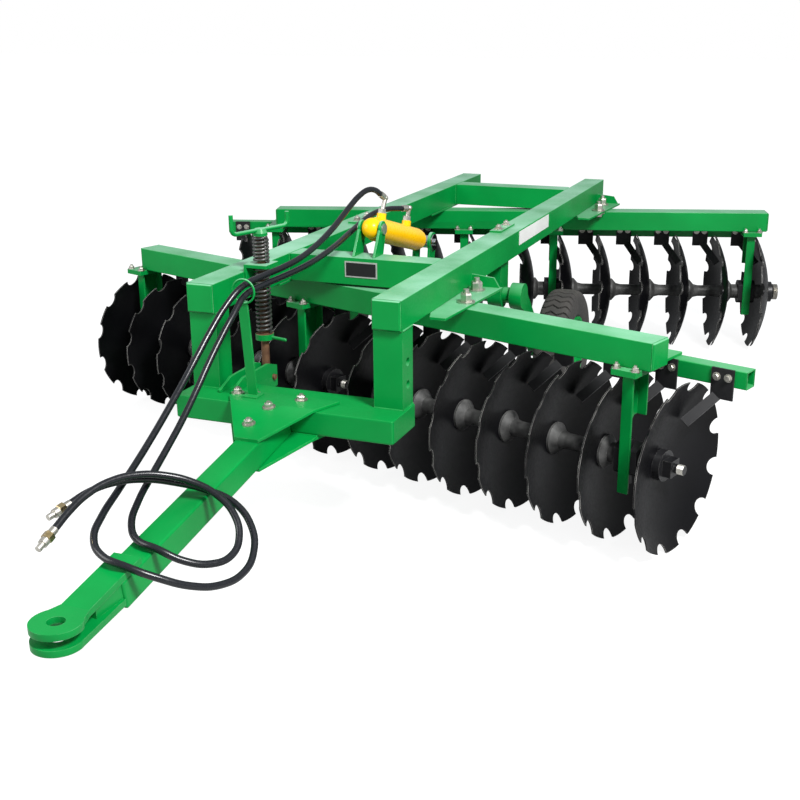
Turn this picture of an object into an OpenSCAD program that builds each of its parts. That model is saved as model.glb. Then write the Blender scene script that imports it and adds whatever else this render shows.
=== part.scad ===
// Trailed offset disc harrow: two gang beams of notched discs under a ladder frame,
// a drawbar with a levelling screw, and a pair of lift wheels worked by one cylinder.
// Millimetres, +Z up, +Y to the rear, the ground at Z = 0.

/* [Frame] */
// Width and height of the side beams and the cross beams
beam = 120; // [110:2:130]
// Distance between the middles of the two side beams
beam_track = 800; // [760:5:840]
// Length of the side beams
beam_len = 3390; // [3300:10:3500]
// Height of the side beams' top faces above the ground
frame_top = 940; // [934:2:960]
// Front face of the front cross beam, behind the side beams' front ends
front_cross_y = 668; // [650:2:690]
// Front face of the rear cross beam, behind the side beams' front ends
rear_cross_y = 2890; // [2840:5:2940]
// Thickness of the plates that close the ends of the beams
cap_t = 8; // [5:1:12]
// Setback of the end plates from the beams' edges, where the weld runs
cap_in = 4; // [2:1:8]

/* [Front posts and draft beam] */
// Depth of the posts under the side beams' front ends
post_depth = 104; // [90:2:112]
// Setback of the posts behind the side beams' front ends
post_setback = 20; // [14:1:30]
// Top of the draft beam above the ground
draft_top = 506; // [490:2:520]
// Height of the draft beam
draft_h = 94; // [86:2:102]
// Reach of the draft beam past the posts
draft_over = 11; // [5:1:30]
// Front face of the draft beam, ahead of the side beams' front ends
draft_front = 110; // [100:2:120]

/* [Drawbar and hitch] */
// Side of the square drawbar tube
bar_w = 100; // [92:2:108]
// Slope of the drawbar below the level
bar_slope = 9.5; // [8:0.25:11]
// Length of the drawbar tube along its slope
bar_len = 1160; // [1120:5:1200]
// Thickness of the draft plates over and under the draft beam
draft_plate_t = 12; // [10:1:15]
// Thickness of the hitch plates
hitch_t = 22; // [18:1:26]
// Clear height of the slot between the hitch plates
hitch_slot = 30; // [26:1:36]
// Diameter of the hitch pin's hole
hitch_hole_d = 56; // [50:1:62]
// Radius of the rounded eye round the hitch pin's hole
hitch_eye_r = 80; // [72:1:86]
// Distance of the hitch pin's hole ahead of the bend in the upper hitch plate
eye_out = 90; // [80:1:110]

/* [Gangs] */
// Angle of the front gang beam, its +X end swung forward
front_angle = 17.8; // [15:0.2:20]
// Angle of the rear gang beam, its +X end swung rearward
rear_angle = 16.2; // [14:0.2:18]
// Middle of the front gang beam behind the side beams' front ends
front_gang_y = 712; // [700:2:730]
// Middle of the rear gang beam behind the side beams' front ends
rear_gang_y = 2870; // [2850:5:2900]
// Width of the gang beams across the gang
gang_w = 120; // [110:2:130]
// Height of the gang beams
gang_h = 110; // [104:2:114]
// Length of the gang beams
gang_len = 2920; // [2900:5:2980]
// Thickness of the bracket plates between side beams and gang beams
bracket_t = 10; // [8:1:14]
// Distance between the middles of neighbouring discs
disc_pitch = 230; // [225:1:240]
// Distance between the inner discs of the two gangs on a beam
gang_gap = 305; // [295:1:320]
// Offset of the front gangs' middle along their beam
front_row_x = -63; // [-70:1:-55]
// Offset of the rear gangs' middle along their beam
rear_row_x = 8; // [0:1:20]

/* [Discs] */
// Diameter of the discs
disc_d = 660; // [640:2:668]
// Depth of the dish
disc_dish = 85; // [75:1:92]
// Thickness of the disc plate
disc_t = 6; // [4:0.5:7]
// Radius of the flat centre of the disc
disc_flat_r = 74; // [72:1:90]
// Radius of the scallops round the rim
notch_r = 36; // [28:1:42]
// Number of scallops round the rim
notch_n = 12; // [8:1:14]
// Number of discs in each gang
disc_n = 7; // [5:1:7]

/* [Spools and bearings] */
// Side of the square gang bolt
bolt_w = 38; // [32:1:42]
// Radius of the spool's waist
spool_r = 33; // [31:1:36]
// Radius of the spool's bell ends
bell_r = 66; // [60:1:70]
// Radius of the bearing journal on the hanger spools
journal_r = 42; // [38:1:46]
// Radius of the bearing housing
housing_r = 68; // [60:1:72]
// Length of the bearing housing along the gang
housing_len = 96; // [80:2:110]
// Radius of the end washers on the gang bolt
washer_r = 60; // [54:1:70]
// Thickness of the end washers on the gang bolt
washer_t = 30; // [24:1:36]

/* [Hangers and scrapers] */
// Clear gap between a disc's rim plane and the hanger beside it
hanger_gap = 5; // [4:1:14]
// Web height of the hanger channel, across the gang
channel_h = 120; // [110:2:126]
// Flange width of the hanger channel, along the gang
channel_b = 46; // [42:1:56]
// Thickness of the hanger channel
channel_t = 8; // [6:0.5:10]
// Thickness of each of the two clamp plates on a hanger
clamp_t = 12; // [8:1:14]
// Side of the square scraper bar
scraper_bar_w = 70; // [60:1:76]
// Wall of the scraper bar
scraper_bar_wall = 5; // [3:0.5:8]
// Distance of the scraper bar's middle behind the gang beam's middle
scraper_reach = 228; // [224:1:240]
// Width of a scraper's mounting plate along the bar
scraper_w = 90; // [80:1:100]
// Thickness of the scrapers
scraper_t = 8; // [5:0.5:10]

/* [Lift wheels] */
// Outer diameter of the tyres
tyre_d = 610; // [590:2:630]
// Width of the tyres
tyre_w = 165; // [150:1:180]
// Diameter of the rims
rim_d = 330; // [310:2:350]
// Distance of a wheel's middle out from its side beam's middle
wheel_out = 240; // [234:1:260]
// Distance of the wheel axles behind the side beams' front ends
wheel_y = 1750; // [1730:2:1780]
// Distance of the lift shaft behind the side beams' front ends
shaft_y = 1400; // [1385:1:1410]
// Height of the lift shaft above the ground
shaft_z = 650; // [642:1:656]
// Radius of the lift shaft
shaft_r = 38; // [34:1:42]
// Width of the wheel arms
arm_w = 60; // [50:1:64]
// Depth of the wheel arms
arm_d = 90; // [80:2:96]
// Radius of the wheels' stub axles
stub_r = 26; // [22:0.5:30]
// Length of the lever on the lift shaft
lever_len = 228; // [222:1:234]
// Lean of the lever behind the upright
lever_lean = 9; // [6:0.5:12]
// Thickness of the lever's two plates
lever_t = 14; // [10:1:18]

/* [Cylinder] */
// Place of the cylinder across the frame
cyl_x = 10; // [-20:1:20]
// Height of the base pin above the frame
base_pin_h = 110; // [104:1:116]
// Distance of the base pin behind the front cross beam's rear face
base_pin_aft = 2; // [-4:1:8]
// Clear width between the two ears
ear_gap = 84; // [80:1:92]
// Thickness of the ears
ear_t = 12; // [8:1:16]
// Radius of the cylinder barrel
barrel_r = 53; // [48:1:56]
// Length from the base pin to the barrel's end
barrel_len = 560; // [545:1:566]
// Radius of the piston rod
rod_r = 22; // [18:0.5:26]
// Radius of the cylinder's pins
pin_r = 16; // [12:0.5:18]

/* [Levelling screw] */
// Distance of the screw inward from the left side beam's inner face
screw_in = 55; // [50:1:64]
// Place of the screw behind the side beams' front ends
screw_y = 315; // [305:1:325]
// Radius of the screw
screw_r = 17; // [14:0.5:20]
// Height of the crank's hub above the frame
crank_rise = 166; // [150:1:180]
// Outer radius of the cushion springs
spring_r = 35; // [32:0.5:38]
// Wire radius of the cushion springs
wire_r = 5.5; // [4:0.5:6.5]

/* [Hoses] */
// Outer diameter of the hydraulic hoses
hose_d = 25; // [20:1:25]

/* [Hidden] */
$fn = 64;
fine = 240;
// Clearances: pieces that rest against each other, pins and shafts that turn, and the lever's open pivot
seat = 0.3;
pin_fit = 0.08;
drift = 15;
// Overshoot of cutting shapes
over = 1;

GREEN = [0.04, 0.55, 0.26];
BLACK = [0.07, 0.07, 0.08];
STEEL = [0.55, 0.56, 0.58];
YELLOW = [1.0, 0.72, 0.05];
RUST = [0.32, 0.16, 0.10];

side_x = beam_track / 2;
inner_x = side_x - beam / 2;
outer_x = side_x + beam / 2;
frame_bottom = frame_top - beam;
gang_top = frame_bottom - bracket_t;
gang_bottom = gang_top - gang_h;
clamp_bottom = gang_bottom - 2 * clamp_t;
axle_z = disc_d / 2;
wheel_z = tyre_d / 2;
wheel_x = side_x + wheel_out;
draft_bottom = draft_top - draft_h;
draft_half = outer_x + draft_over;
draft_back = post_setback + post_depth;
screw_x = screw_in - inner_x;

// Gang rows: the first disc of each gang, and the length from the first disc to the last
row_len = (disc_n - 1) * disc_pitch;

function row_starts(shift) = [shift + gang_gap / 2, shift - gang_gap / 2 - row_len];

// Hangers and scrapers, measured along the gang from the disc whose hollow faces them
hanger_in = disc_dish + hanger_gap;
scraper_in = disc_dish + 11;
bar_spare = 48;
scraper_z = gang_bottom - clamp_t - scraper_bar_w;
scraper_front = scraper_reach - scraper_bar_w / 2;
scraper_back = scraper_reach + scraper_bar_w / 2;
bar_from = scraper_in - bar_spare - gang_gap / 2 - row_len;
bar_to = scraper_in + scraper_w + bar_spare + gang_gap / 2 + row_len;

// The dish is part of a sphere, and its flat centre sits a little way into it.
dish_r = (disc_d * disc_d / 4 + disc_dish * disc_dish) / (2 * disc_dish);
flat_sag = dish_r - sqrt(dish_r * dish_r - disc_flat_r * disc_flat_r);
rim_back = dish_r - flat_sag - sqrt((dish_r + disc_t) * (dish_r + disc_t) - disc_d * disc_d / 4);

// The origin lies under the middle of the harrow: halfway between the scraper bars' outer ends,
// and halfway between the hitch's tip and the rearmost disc.
mid_x = ((front_row_x + bar_to) * cos(front_angle) + scraper_back * sin(front_angle)
    + (rear_row_x - bar_to) * cos(rear_angle) - scraper_back * sin(rear_angle)) / 2;
last_rim = row_starts(rear_row_x)[0] + row_len - rim_back;
rear_end = rear_gang_y + last_rim * sin(rear_angle) + disc_d / 2 * cos(rear_angle);
bend_in = 6;
nose_len = 170;
hitch_reach = draft_front + bend_in + (bar_len + nose_len) * cos(bar_slope) + eye_out;
mid_y = (rear_end - hitch_reach - hitch_eye_r) / 2;
mid = [mid_x, mid_y, 0];

// Helpers

module part(shade) color(shade) translate(-mid) children();

module box(low, high) translate(low) cube(high - low);

module tube_x(r, x0, x1) translate([x0, 0, 0]) rotate([0, 90, 0]) cylinder(r = r, h = x1 - x0);

module tube_y(r, y0, y1) translate([0, y0, 0]) rotate([-90, 0, 0]) cylinder(r = r, h = y1 - y0);

// A closed outline of [radius, x] points turned about the X axis.
module turned_x(outline) rotate([0, 90, 0]) rotate_extrude() polygon(outline);

// A flat plate drawn as [y, z] points, standing across X.
module side_plate(points, x0, x1) translate([x0, 0, 0]) rotate([90, 0, 90])
    linear_extrude(x1 - x0) polygon(points);

// The same piece on both sides of the centre line.
module both_sides() {
    children();
    mirror([1, 0, 0]) children();
}

// A flat bar from p to q, w wide along X and t thick.
module strut(p, q, w, t) {
    d = q - p;
    turn = atan2(d[1], d[0]);
    translate(p) rotate([0, acos(d[2] / norm(d)), turn]) rotate([0, 0, -turn])
        translate([-w / 2, -t / 2, 0]) cube([w, t, norm(d)]);
}

// The gang frames: X along the gang beam, Y across it to the rear.
module front_gang() translate([0, front_gang_y, 0]) rotate([0, 0, -front_angle]) children();

module rear_gang() translate([0, rear_gang_y, 0]) rotate([0, 0, rear_angle]) children();

// Places at x what is drawn for hollows that face +X, turned round for those that face -X.
module faced(x, facing) translate([x, 0, 0]) mirror([facing > 0 ? 0 : 1, 0, 0]) children();

// One gang, drawn from its first disc with the hollows facing along it.
module along_gang(start, facing) faced(facing > 0 ? start : start + row_len, facing) children();

module both_gangs(shift, facing) for (start = row_starts(shift)) along_gang(start, facing) children();

// Side beams and cross beams

// A beam along Y from y0 to y1, its end plates set in behind the weld.
module capped_beam(y0, y1) {
    box([-beam / 2, y0 + cap_t, frame_bottom], [beam / 2, y1 - cap_t, frame_top]);
    box([cap_in - beam / 2, y0, frame_bottom + cap_in], [beam / 2 - cap_in, y1, frame_top - cap_in]);
}

module left_beam() part(GREEN) translate([-side_x, 0, 0]) capped_beam(0, beam_len);

module right_beam() part(GREEN) translate([side_x, 0, 0]) capped_beam(0, beam_len);

module cross_beam(y) box([-inner_x, y, frame_bottom], [inner_x, y + beam, frame_top]);

module front_cross_beam() part(GREEN) cross_beam(front_cross_y);

module rear_cross_beam() part(GREEN) cross_beam(rear_cross_y);

// Posts, draft beam and drawbar

post_hole_r = 17;
post_holes = [92, 182];

module front_posts() part(GREEN) both_sides() difference() {
    box([inner_x, post_setback, draft_top], [outer_x, draft_back, frame_bottom]);
    for (up = post_holes) translate([0, post_setback + post_depth / 2, draft_top + up])
        tube_x(post_hole_r, outer_x - beam / 4, outer_x + over);
}

module draft_beam() part(GREEN)
    box([-draft_half, -draft_front, draft_bottom], [draft_half, draft_back, draft_top]);

// The drawbar hangs from the bend of the draft plates.
// A point d down its slope and h above its top face, as [y, z]:
bend_y = -draft_front - bend_in;

function on_bar(d, h) = [bend_y - d * cos(bar_slope) - h * sin(bar_slope),
    draft_top - d * sin(bar_slope) + h * cos(bar_slope)];

bar_start = 14;
plate_reach = 270;
plate_back = 10;
plate_right = 200;
plate_left = screw_x + 40;
plate_shoulder = 70;
plate_span = plate_reach + 20;

// Plan of the draft plates: as wide as the drawbar in front, spread over the draft beam behind.
module draft_outline(z0, z1) translate([0, 0, z0]) linear_extrude(z1 - z0) polygon([
    [-bar_w / 2, on_bar(plate_reach, 0)[0]], [bar_w / 2, on_bar(plate_reach, 0)[0]],
    [plate_right, plate_back], [plate_left, plate_back], [plate_left, -plate_shoulder]]);

// The upper plate lies on the draft beam and bends down with the drawbar,
// the lower one follows the undersides.
module draft_plates() part(GREEN) {
    intersection() {
        draft_outline(draft_bottom, draft_top + beam);
        side_plate([[plate_back, draft_top], [bend_y, draft_top], on_bar(plate_span, 0),
            on_bar(plate_span, draft_plate_t), [bend_y, draft_top + draft_plate_t],
            [plate_back, draft_top + draft_plate_t]], -draft_half, draft_half);
    }
    intersection() {
        draft_outline(0, draft_top);
        side_plate([[plate_back, draft_bottom], [-draft_front, draft_bottom],
            on_bar(bar_start, -bar_w), on_bar(plate_span, -bar_w),
            on_bar(plate_span, -bar_w - draft_plate_t),
            [-draft_front, draft_bottom - draft_plate_t - bend_in],
            [plate_back, draft_bottom - draft_plate_t]], -draft_half, draft_half);
    }
}

module drawbar() part(GREEN) translate([0, bend_y, draft_top]) rotate([bar_slope, 0, 0])
    box([-bar_w / 2, -bar_len, -bar_w], [bar_w / 2, -bar_start, 0]);

// The upper hitch plate lies on the drawbar's end and bends level into the eye,
// the lower one is welded under the drawbar's end face.
lap_len = 110;
nose_in = 8;
nose_step = 40;
eye_bend = on_bar(bar_len + nose_len, 0);
hitch_up = eye_bend[1];
hitch_low = hitch_up - hitch_slot - hitch_t;
end_drop = (hitch_low + hitch_t - on_bar(bar_len, 0)[1]) / cos(bar_slope);
bar_end = on_bar(bar_len, end_drop)[0] - seat;

module eye_outline(back) difference() {
    union() {
        translate([0, -hitch_reach]) circle(r = hitch_eye_r);
        polygon([[-hitch_eye_r, -hitch_reach], [hitch_eye_r, -hitch_reach],
            [bar_w / 2, back], [-bar_w / 2, back]]);
    }
    translate([0, -hitch_reach]) circle(d = hitch_hole_d);
}

module hitch_plates() part(GREEN) {
    translate([0, 0, hitch_up]) linear_extrude(hitch_t) eye_outline(eye_bend[0] + over);
    side_plate([eye_bend, on_bar(bar_len - lap_len, 0), on_bar(bar_len - lap_len, hitch_t),
        [eye_bend[0], hitch_up + hitch_t]], -bar_w / 2, bar_w / 2);
    translate([0, 0, hitch_low]) linear_extrude(hitch_t) eye_outline(bar_end);
}

// The block that fills the drawbar's open end between the two hitch plates.
module nose_block() part(GREEN) side_plate([on_bar(bar_len + seat, 0),
    on_bar(bar_len + nose_len - nose_step, 0), [eye_bend[0] + nose_step, hitch_low + hitch_t],
    [bar_end, hitch_low + hitch_t]], nose_in - bar_w / 2, bar_w / 2 - nose_in);

// Gang beams and their brackets

front_beam_shift = -10;
rear_beam_shift = 58;

module gang_beam(shift) translate([shift, 0, 0]) {
    end = gang_len / 2;
    box([cap_t - end, -gang_w / 2, gang_bottom], [end - cap_t, gang_w / 2, gang_top]);
    box([-end, cap_in - gang_w / 2, gang_bottom + cap_in], [end, gang_w / 2 - cap_in, gang_top - cap_in]);
}

module front_gang_beam() part(GREEN) front_gang() gang_beam(front_beam_shift);

module rear_gang_beam() part(GREEN) rear_gang() gang_beam(rear_beam_shift);

// A bracket plate under a side beam, drawn about the crossing with the gang beam:
// flush with the beam's inner side, and spread outwards for the adjusting bolts.
bracket_fore = 325;
bracket_aft = 264;
bracket_nose = [18, 85];
bracket_tail = 136;

module bracket_plate() translate([0, 0, gang_top]) linear_extrude(bracket_t) polygon([
    [-beam / 2, -bracket_aft], [beam / 2, -bracket_aft],
    [beam / 2 + bracket_nose[0], -bracket_fore], [beam / 2 + bracket_nose[1], -bracket_fore],
    [beam / 2 + bracket_tail, bracket_aft], [-beam / 2, bracket_aft]]);

module bracket_pair(y, lean) for (s = [1, -1])
    translate([s * side_x, y + s * side_x * tan(lean), 0]) mirror([s > 0 ? 0 : 1, 0, 0]) bracket_plate();

module front_gang_brackets() part(GREEN) bracket_pair(front_gang_y, -front_angle);

module rear_gang_brackets() part(GREEN) bracket_pair(rear_gang_y, rear_angle);

// Hangers, bearings and scrapers. In each gang the hangers stand in the first and the last space.

module at_hangers(shift, facing) both_gangs(shift, facing)
    for (i = [0, disc_n - 2]) translate([i * disc_pitch, 0, 0]) children();

foot_drop = 130;
hanger_foot = axle_z - foot_drop;
cut_high = 160;
cut_low = 80;
cut_in = 20;
clamp_side = 30;
clamp_front = 40;
clamp_rear = 20;

// A channel whose web faces the disc; its rear flange and the web below it are cut away on a slant.
module hanger_channel() translate([hanger_in, 0, 0]) {
    front = -channel_h / 2;
    back = channel_h / 2;
    difference() {
        box([0, front, hanger_foot], [channel_b, back, clamp_bottom]);
        box([channel_t, front + channel_t, hanger_foot - over],
            [channel_b + over, back - channel_t, clamp_bottom + over]);
        side_plate([[front + channel_t, hanger_foot - over], [back + over, hanger_foot - over],
            [back + over, axle_z + cut_high], [back - channel_t - cut_in, axle_z + cut_high],
            [front + channel_t, axle_z + cut_low]], -over, channel_b + over);
    }
}

// Two clamp plates under the gang beam; the upper one runs back over the scraper bar.
module hanger_plates() {
    x0 = hanger_in - clamp_side;
    x1 = hanger_in + channel_b + clamp_side;
    front = -gang_w / 2 - clamp_front;
    box([x0, front, clamp_bottom], [x1, gang_w / 2 + clamp_rear, gang_bottom - clamp_t]);
    box([x0, front, gang_bottom - clamp_t], [x1, scraper_back, gang_bottom]);
}

module hangers(shift, facing) at_hangers(shift, facing) {
    hanger_channel();
    hanger_plates();
}

module front_hangers() part(GREEN) front_gang() hangers(front_row_x, 1);

module rear_hangers() part(GREEN) rear_gang() hangers(rear_row_x, -1);

housing_mid = hanger_in + channel_b / 2;
pad_half = 90;
pad_in = 30;

// A bearing housing round the journal, bolted by its pad to the inside of the channel's front flange.
module bearing() translate([0, 0, axle_z]) difference() {
    seat_y = channel_t - channel_h / 2;
    union() {
        tube_x(housing_r, housing_mid - housing_len / 2, housing_mid + housing_len / 2);
        box([hanger_in + channel_t, seat_y, -pad_half], [hanger_in + channel_b, -pad_in, pad_half]);
    }
    tube_x(journal_r + pin_fit, 0, disc_pitch);
    box([0, -channel_h, -pad_half - over], [disc_pitch, seat_y, pad_half + over]);
}

module front_bearings() part(BLACK) front_gang() at_hangers(front_row_x, 1) bearing();

module rear_bearings() part(BLACK) rear_gang() at_hangers(rear_row_x, -1) bearing();

// A square tube from the first scraper to the last, drawn for hollows that face +X.
module scraper_bar(shift, facing) faced(shift, facing) difference() {
    box([bar_from, scraper_front, scraper_z], [bar_to, scraper_back, scraper_z + scraper_bar_w]);
    box([bar_from - over, scraper_front + scraper_bar_wall, scraper_z + scraper_bar_wall],
        [bar_to + over, scraper_back - scraper_bar_wall, scraper_z + scraper_bar_w - scraper_bar_wall]);
}

module front_scraper_bar() part(GREEN) front_gang() scraper_bar(front_row_x, 1);

module rear_scraper_bar() part(GREEN) rear_gang() scraper_bar(rear_row_x, -1);

plate_drop = 50;
blade_w = 40;
blade_lap = 25;
blade_rise = 10;
blade_tip = [45, 95, 150];

// A scraper: a plate on the bar's front face and a blade that reaches into the disc's hollow.
module scraper() {
    box([scraper_in, scraper_front - scraper_t, scraper_z - plate_drop],
        [scraper_in + scraper_w, scraper_front, scraper_z + scraper_bar_w]);
    strut([scraper_in + blade_lap, scraper_front - scraper_t / 2, scraper_z - plate_drop + blade_rise],
        [blade_tip[0], blade_tip[1], axle_z + blade_tip[2]], scraper_t, blade_w);
}

module scrapers(shift, facing) both_gangs(shift, facing)
    for (i = [0 : disc_n - 1]) translate([i * disc_pitch, 0, 0]) scraper();

module front_scrapers() part(BLACK) front_gang() scrapers(front_row_x, 1);

module rear_scrapers() part(BLACK) rear_gang() scrapers(rear_row_x, -1);

// Gangs: discs, spools and gang bolt

rim_in = 5;
flat_lap = 2;

// A dished disc with its hollow towards +X and its flat centre's hollow face at x = 0.
module disc() difference() {
    deep = disc_t + rim_in;
    union() {
        intersection() {
            translate([dish_r - flat_sag, 0, 0]) difference() {
                sphere(r = dish_r + disc_t, $fn = fine);
                sphere(r = dish_r, $fn = fine);
            }
            tube_x(disc_d / 2, -disc_t, disc_dish);
        }
        tube_x(disc_flat_r + flat_lap, -disc_t, 0);
    }
    for (k = [0 : notch_n - 1]) rotate([(k + 0.5) * 360 / notch_n, 0, 0]) translate([0, 0, disc_d / 2])
        tube_x(notch_r, -deep, disc_dish + over);
    box([-deep, -bolt_w / 2, -bolt_w / 2], [rim_in, bolt_w / 2, bolt_w / 2]);
}

module disc_row() for (i = [0 : disc_n - 1]) translate([i * disc_pitch, 0, axle_z]) disc();

spool_len = disc_pitch - disc_t;
bell_t = 10;
bell_cone = 34;
waist_in = 60;
waist_swell = 6;
journal_cone = 28;

// Half of a spool's outline as [radius, x], from its end face to its middle.
waist_half = [[bell_r, 0], [bell_r, bell_t], [spool_r + waist_swell, bell_cone], [spool_r, waist_in]];
journal_half = [[bell_r, 0], [bell_r, bell_t], [journal_r, journal_cone]];

module spool(half) difference() {
    other = [for (k = [len(half) - 1 : -1 : 0]) [half[k][0], spool_len - half[k][1]]];
    turned_x(concat([[0, 0]], half, other, [[0, spool_len]]));
    box([-over, -bolt_w / 2, -bolt_w / 2], [spool_len + over, bolt_w / 2, bolt_w / 2]);
}

// The spools beside the hangers carry the bearing journals.
module spool_row() for (i = [0 : disc_n - 2]) translate([i * disc_pitch, 0, axle_z])
    spool(i == 0 || i == disc_n - 2 ? journal_half : waist_half);

nut_t = 36;
nut_w = 64;
thread_r = 18;
thread_end = 75;

// The square gang bolt with an end washer and a square head or nut at each end.
module gang_bolt() translate([0, 0, axle_z]) {
    ends = [-disc_t - washer_t, row_len + washer_t];
    box([ends[0], -bolt_w / 2, -bolt_w / 2], [ends[1], bolt_w / 2, bolt_w / 2]);
    tube_x(washer_r, ends[0], -disc_t);
    tube_x(washer_r, row_len, ends[1]);
    box([ends[0] - nut_t, -nut_w / 2, -nut_w / 2], [ends[0], nut_w / 2, nut_w / 2]);
    box([ends[1], -nut_w / 2, -nut_w / 2], [ends[1] + nut_t, nut_w / 2, nut_w / 2]);
    tube_x(thread_r, ends[1], ends[1] + thread_end);
}

module front_right_gang() part(BLACK) front_gang() along_gang(row_starts(front_row_x)[0], 1) children();

module front_left_gang() part(BLACK) front_gang() along_gang(row_starts(front_row_x)[1], 1) children();

module rear_right_gang() part(BLACK) rear_gang() along_gang(row_starts(rear_row_x)[0], -1) children();

module rear_left_gang() part(BLACK) rear_gang() along_gang(row_starts(rear_row_x)[1], -1) children();

module front_right_discs() front_right_gang() disc_row();

module front_right_spools() front_right_gang() spool_row();

module front_right_bolt() front_right_gang() gang_bolt();

module front_left_discs() front_left_gang() disc_row();

module front_left_spools() front_left_gang() spool_row();

module front_left_bolt() front_left_gang() gang_bolt();

module rear_right_discs() rear_right_gang() disc_row();

module rear_right_spools() rear_right_gang() spool_row();

module rear_right_bolt() rear_right_gang() gang_bolt();

module rear_left_discs() rear_left_gang() disc_row();

module rear_left_spools() rear_left_gang() spool_row();

module rear_left_bolt() rear_left_gang() gang_bolt();

// Lift shaft, lever, wheel arms and wheels

arm_gap = 14;
boss_proud = 2;
arm_x0 = outer_x + arm_gap;
arm_x1 = arm_x0 + arm_w;
shaft_hub_r = shaft_r + 24;
axle_boss_r = stub_r + 24;
stub_over = 60;
arm_angle = atan2(shaft_z - wheel_z, wheel_y - shaft_y);
arm_len = norm([wheel_y - shaft_y, shaft_z - wheel_z]);

module at_shaft() translate([0, shaft_y, shaft_z]) children();

module lift_shaft() part(GREEN) at_shaft() tube_x(shaft_r, -arm_x1, arm_x1);

// A trailing arm on each end of the shaft, with the wheel's stub axle.
module wheel_arms() part(GREEN) both_sides() difference() {
    union() {
        at_shaft() {
            tube_x(shaft_hub_r, arm_x0, arm_x1);
            rotate([-arm_angle, 0, 0])
                box([arm_x0 + boss_proud, 11, -arm_d / 2],
                    [arm_x1 - boss_proud, arm_len - 11, arm_d / 2]);
        }
        translate([0, wheel_y, wheel_z]) {
            tube_x(axle_boss_r, arm_x0, arm_x1);
            tube_x(stub_r, arm_x1 - 10, wheel_x + stub_over);
        }
    }
    at_shaft() tube_x(shaft_r + pin_fit, arm_x0 - over, arm_x1 + over);
}

eye_w = 60;
eye_side = 2;
lever_hub_r = shaft_r + 22;
lever_tip_r = 48;
lever_pin = [shaft_y + lever_len * sin(lever_lean), shaft_z + lever_len * cos(lever_lean)];
lever_x = eye_w / 2 + eye_side;

// The lever is two plates on the lift shaft, one each side of the rod's eye.
module lever_plate() difference() {
    union() {
        at_shaft() tube_x(lever_hub_r, 0, lever_t);
        at_shaft() rotate([-lever_lean, 0, 0])
            box([boss_proud, 8 - lever_tip_r, 11],
                [lever_t - boss_proud, lever_tip_r - 8, lever_len - 11]);
        translate([0, lever_pin[0], lever_pin[1]]) tube_x(lever_tip_r, 0, lever_t);
    }
    at_shaft() tube_x(shaft_r + pin_fit, -over, lever_t + over);
    translate([0, lever_pin[0], lever_pin[1]]) tube_x(pin_r + drift, -over, lever_t + over);
}

module lift_lever() part(GREEN) for (x = [-lever_x - lever_t, lever_x])
    translate([cyl_x + x, 0, 0]) lever_plate();

hanger_half = 34;
hanger_r = shaft_r + 22;

// A block under each side beam with the lift shaft's bearing.
module shaft_hangers() part(GREEN) both_sides() translate([side_x, shaft_y, shaft_z]) difference() {
    union() {
        box([-hanger_half, -hanger_r, 0], [hanger_half, hanger_r, frame_bottom - shaft_z]);
        tube_x(hanger_r, -hanger_half, hanger_half);
    }
    tube_x(shaft_r + pin_fit, -hanger_half - over, hanger_half + over);
}

hub_r = stub_r + 26;
hub_half = 50;
rim_wall = 8;
rim_well = 20;
rim_lip = 8;
bead_w = 28;
web_t = 12;
web_rise = 22;

// A rim: hub, dished web, and a well between two bead seats with turned-up lips, as [radius, x].
module rim() {
    r = rim_d / 2;
    lip = tyre_w / 2 - 10;
    bead = lip - bead_w;
    drop = bead - rim_well / 2 - 4;
    inner = r - rim_well - rim_wall;
    turned_x([[stub_r + pin_fit, -hub_half], [hub_r, -hub_half], [hub_r, -web_t / 2 - web_rise / 2],
        [inner, web_rise / 2 - web_t / 2], [inner, -drop], [r - rim_wall, -bead], [r - rim_wall, -lip],
        [r + rim_lip, -lip], [r + rim_lip, -lip + rim_wall], [r, -lip + rim_wall], [r, -bead],
        [r - rim_well, -drop], [r - rim_well, drop], [r, bead], [r, lip - rim_wall],
        [r + rim_lip, lip - rim_wall], [r + rim_lip, lip], [r - rim_wall, lip], [r - rim_wall, bead],
        [inner, drop], [inner, web_rise / 2 + web_t / 2], [hub_r, web_t / 2 - web_rise / 2],
        [hub_r, hub_half], [stub_r + pin_fit, hub_half]]);
}

bead_in = 10 + rim_wall;
shoulder = 26;
crown_drop = 4;

// A tyre: beads between the rim's lips, rounded walls and a slightly crowned tread.
module tyre() {
    r = tyre_d / 2;
    w = tyre_w / 2;
    low = rim_d / 2 + seat;
    wall = (r + low) / 2;
    half = [[low, w - bead_in - seat], [low + rim_lip + 2, w - bead_in - seat], [low + shoulder, w - 6],
        [wall, w], [r - shoulder, w - 4], [r - 2 * crown_drop, w - shoulder + 8],
        [r - crown_drop, w - shoulder], [r, w - 2 * shoulder]];
    turned_x(concat(half, [for (k = [len(half) - 1 : -1 : 0]) [half[k][0], -half[k][1]]]));
}

module at_wheel(side) translate([side * wheel_x, wheel_y, wheel_z]) children();

module left_rim() part(GREEN) at_wheel(-1) rim();

module right_rim() part(GREEN) at_wheel(1) rim();

module left_tyre() part(BLACK) at_wheel(-1) tyre();

module right_tyre() part(BLACK) at_wheel(1) tyre();

// Cylinder, between ears on the front cross beam and the lever on the lift shaft

base_pin_y = front_cross_y + beam + base_pin_aft;
base_pin_z = frame_top + base_pin_h;
cyl_slope = atan2(lever_pin[1] - base_pin_z, lever_pin[0] - base_pin_y);
cyl_reach = norm([lever_pin[0] - base_pin_y, lever_pin[1] - base_pin_z]);
ear_r = pin_r + 20;
ear_step = 20;
head_r = pin_r + 8;
head_t = 8;
pin_tail = 10;

module at_base_pin() translate([cyl_x, base_pin_y, base_pin_z]) children();

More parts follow.
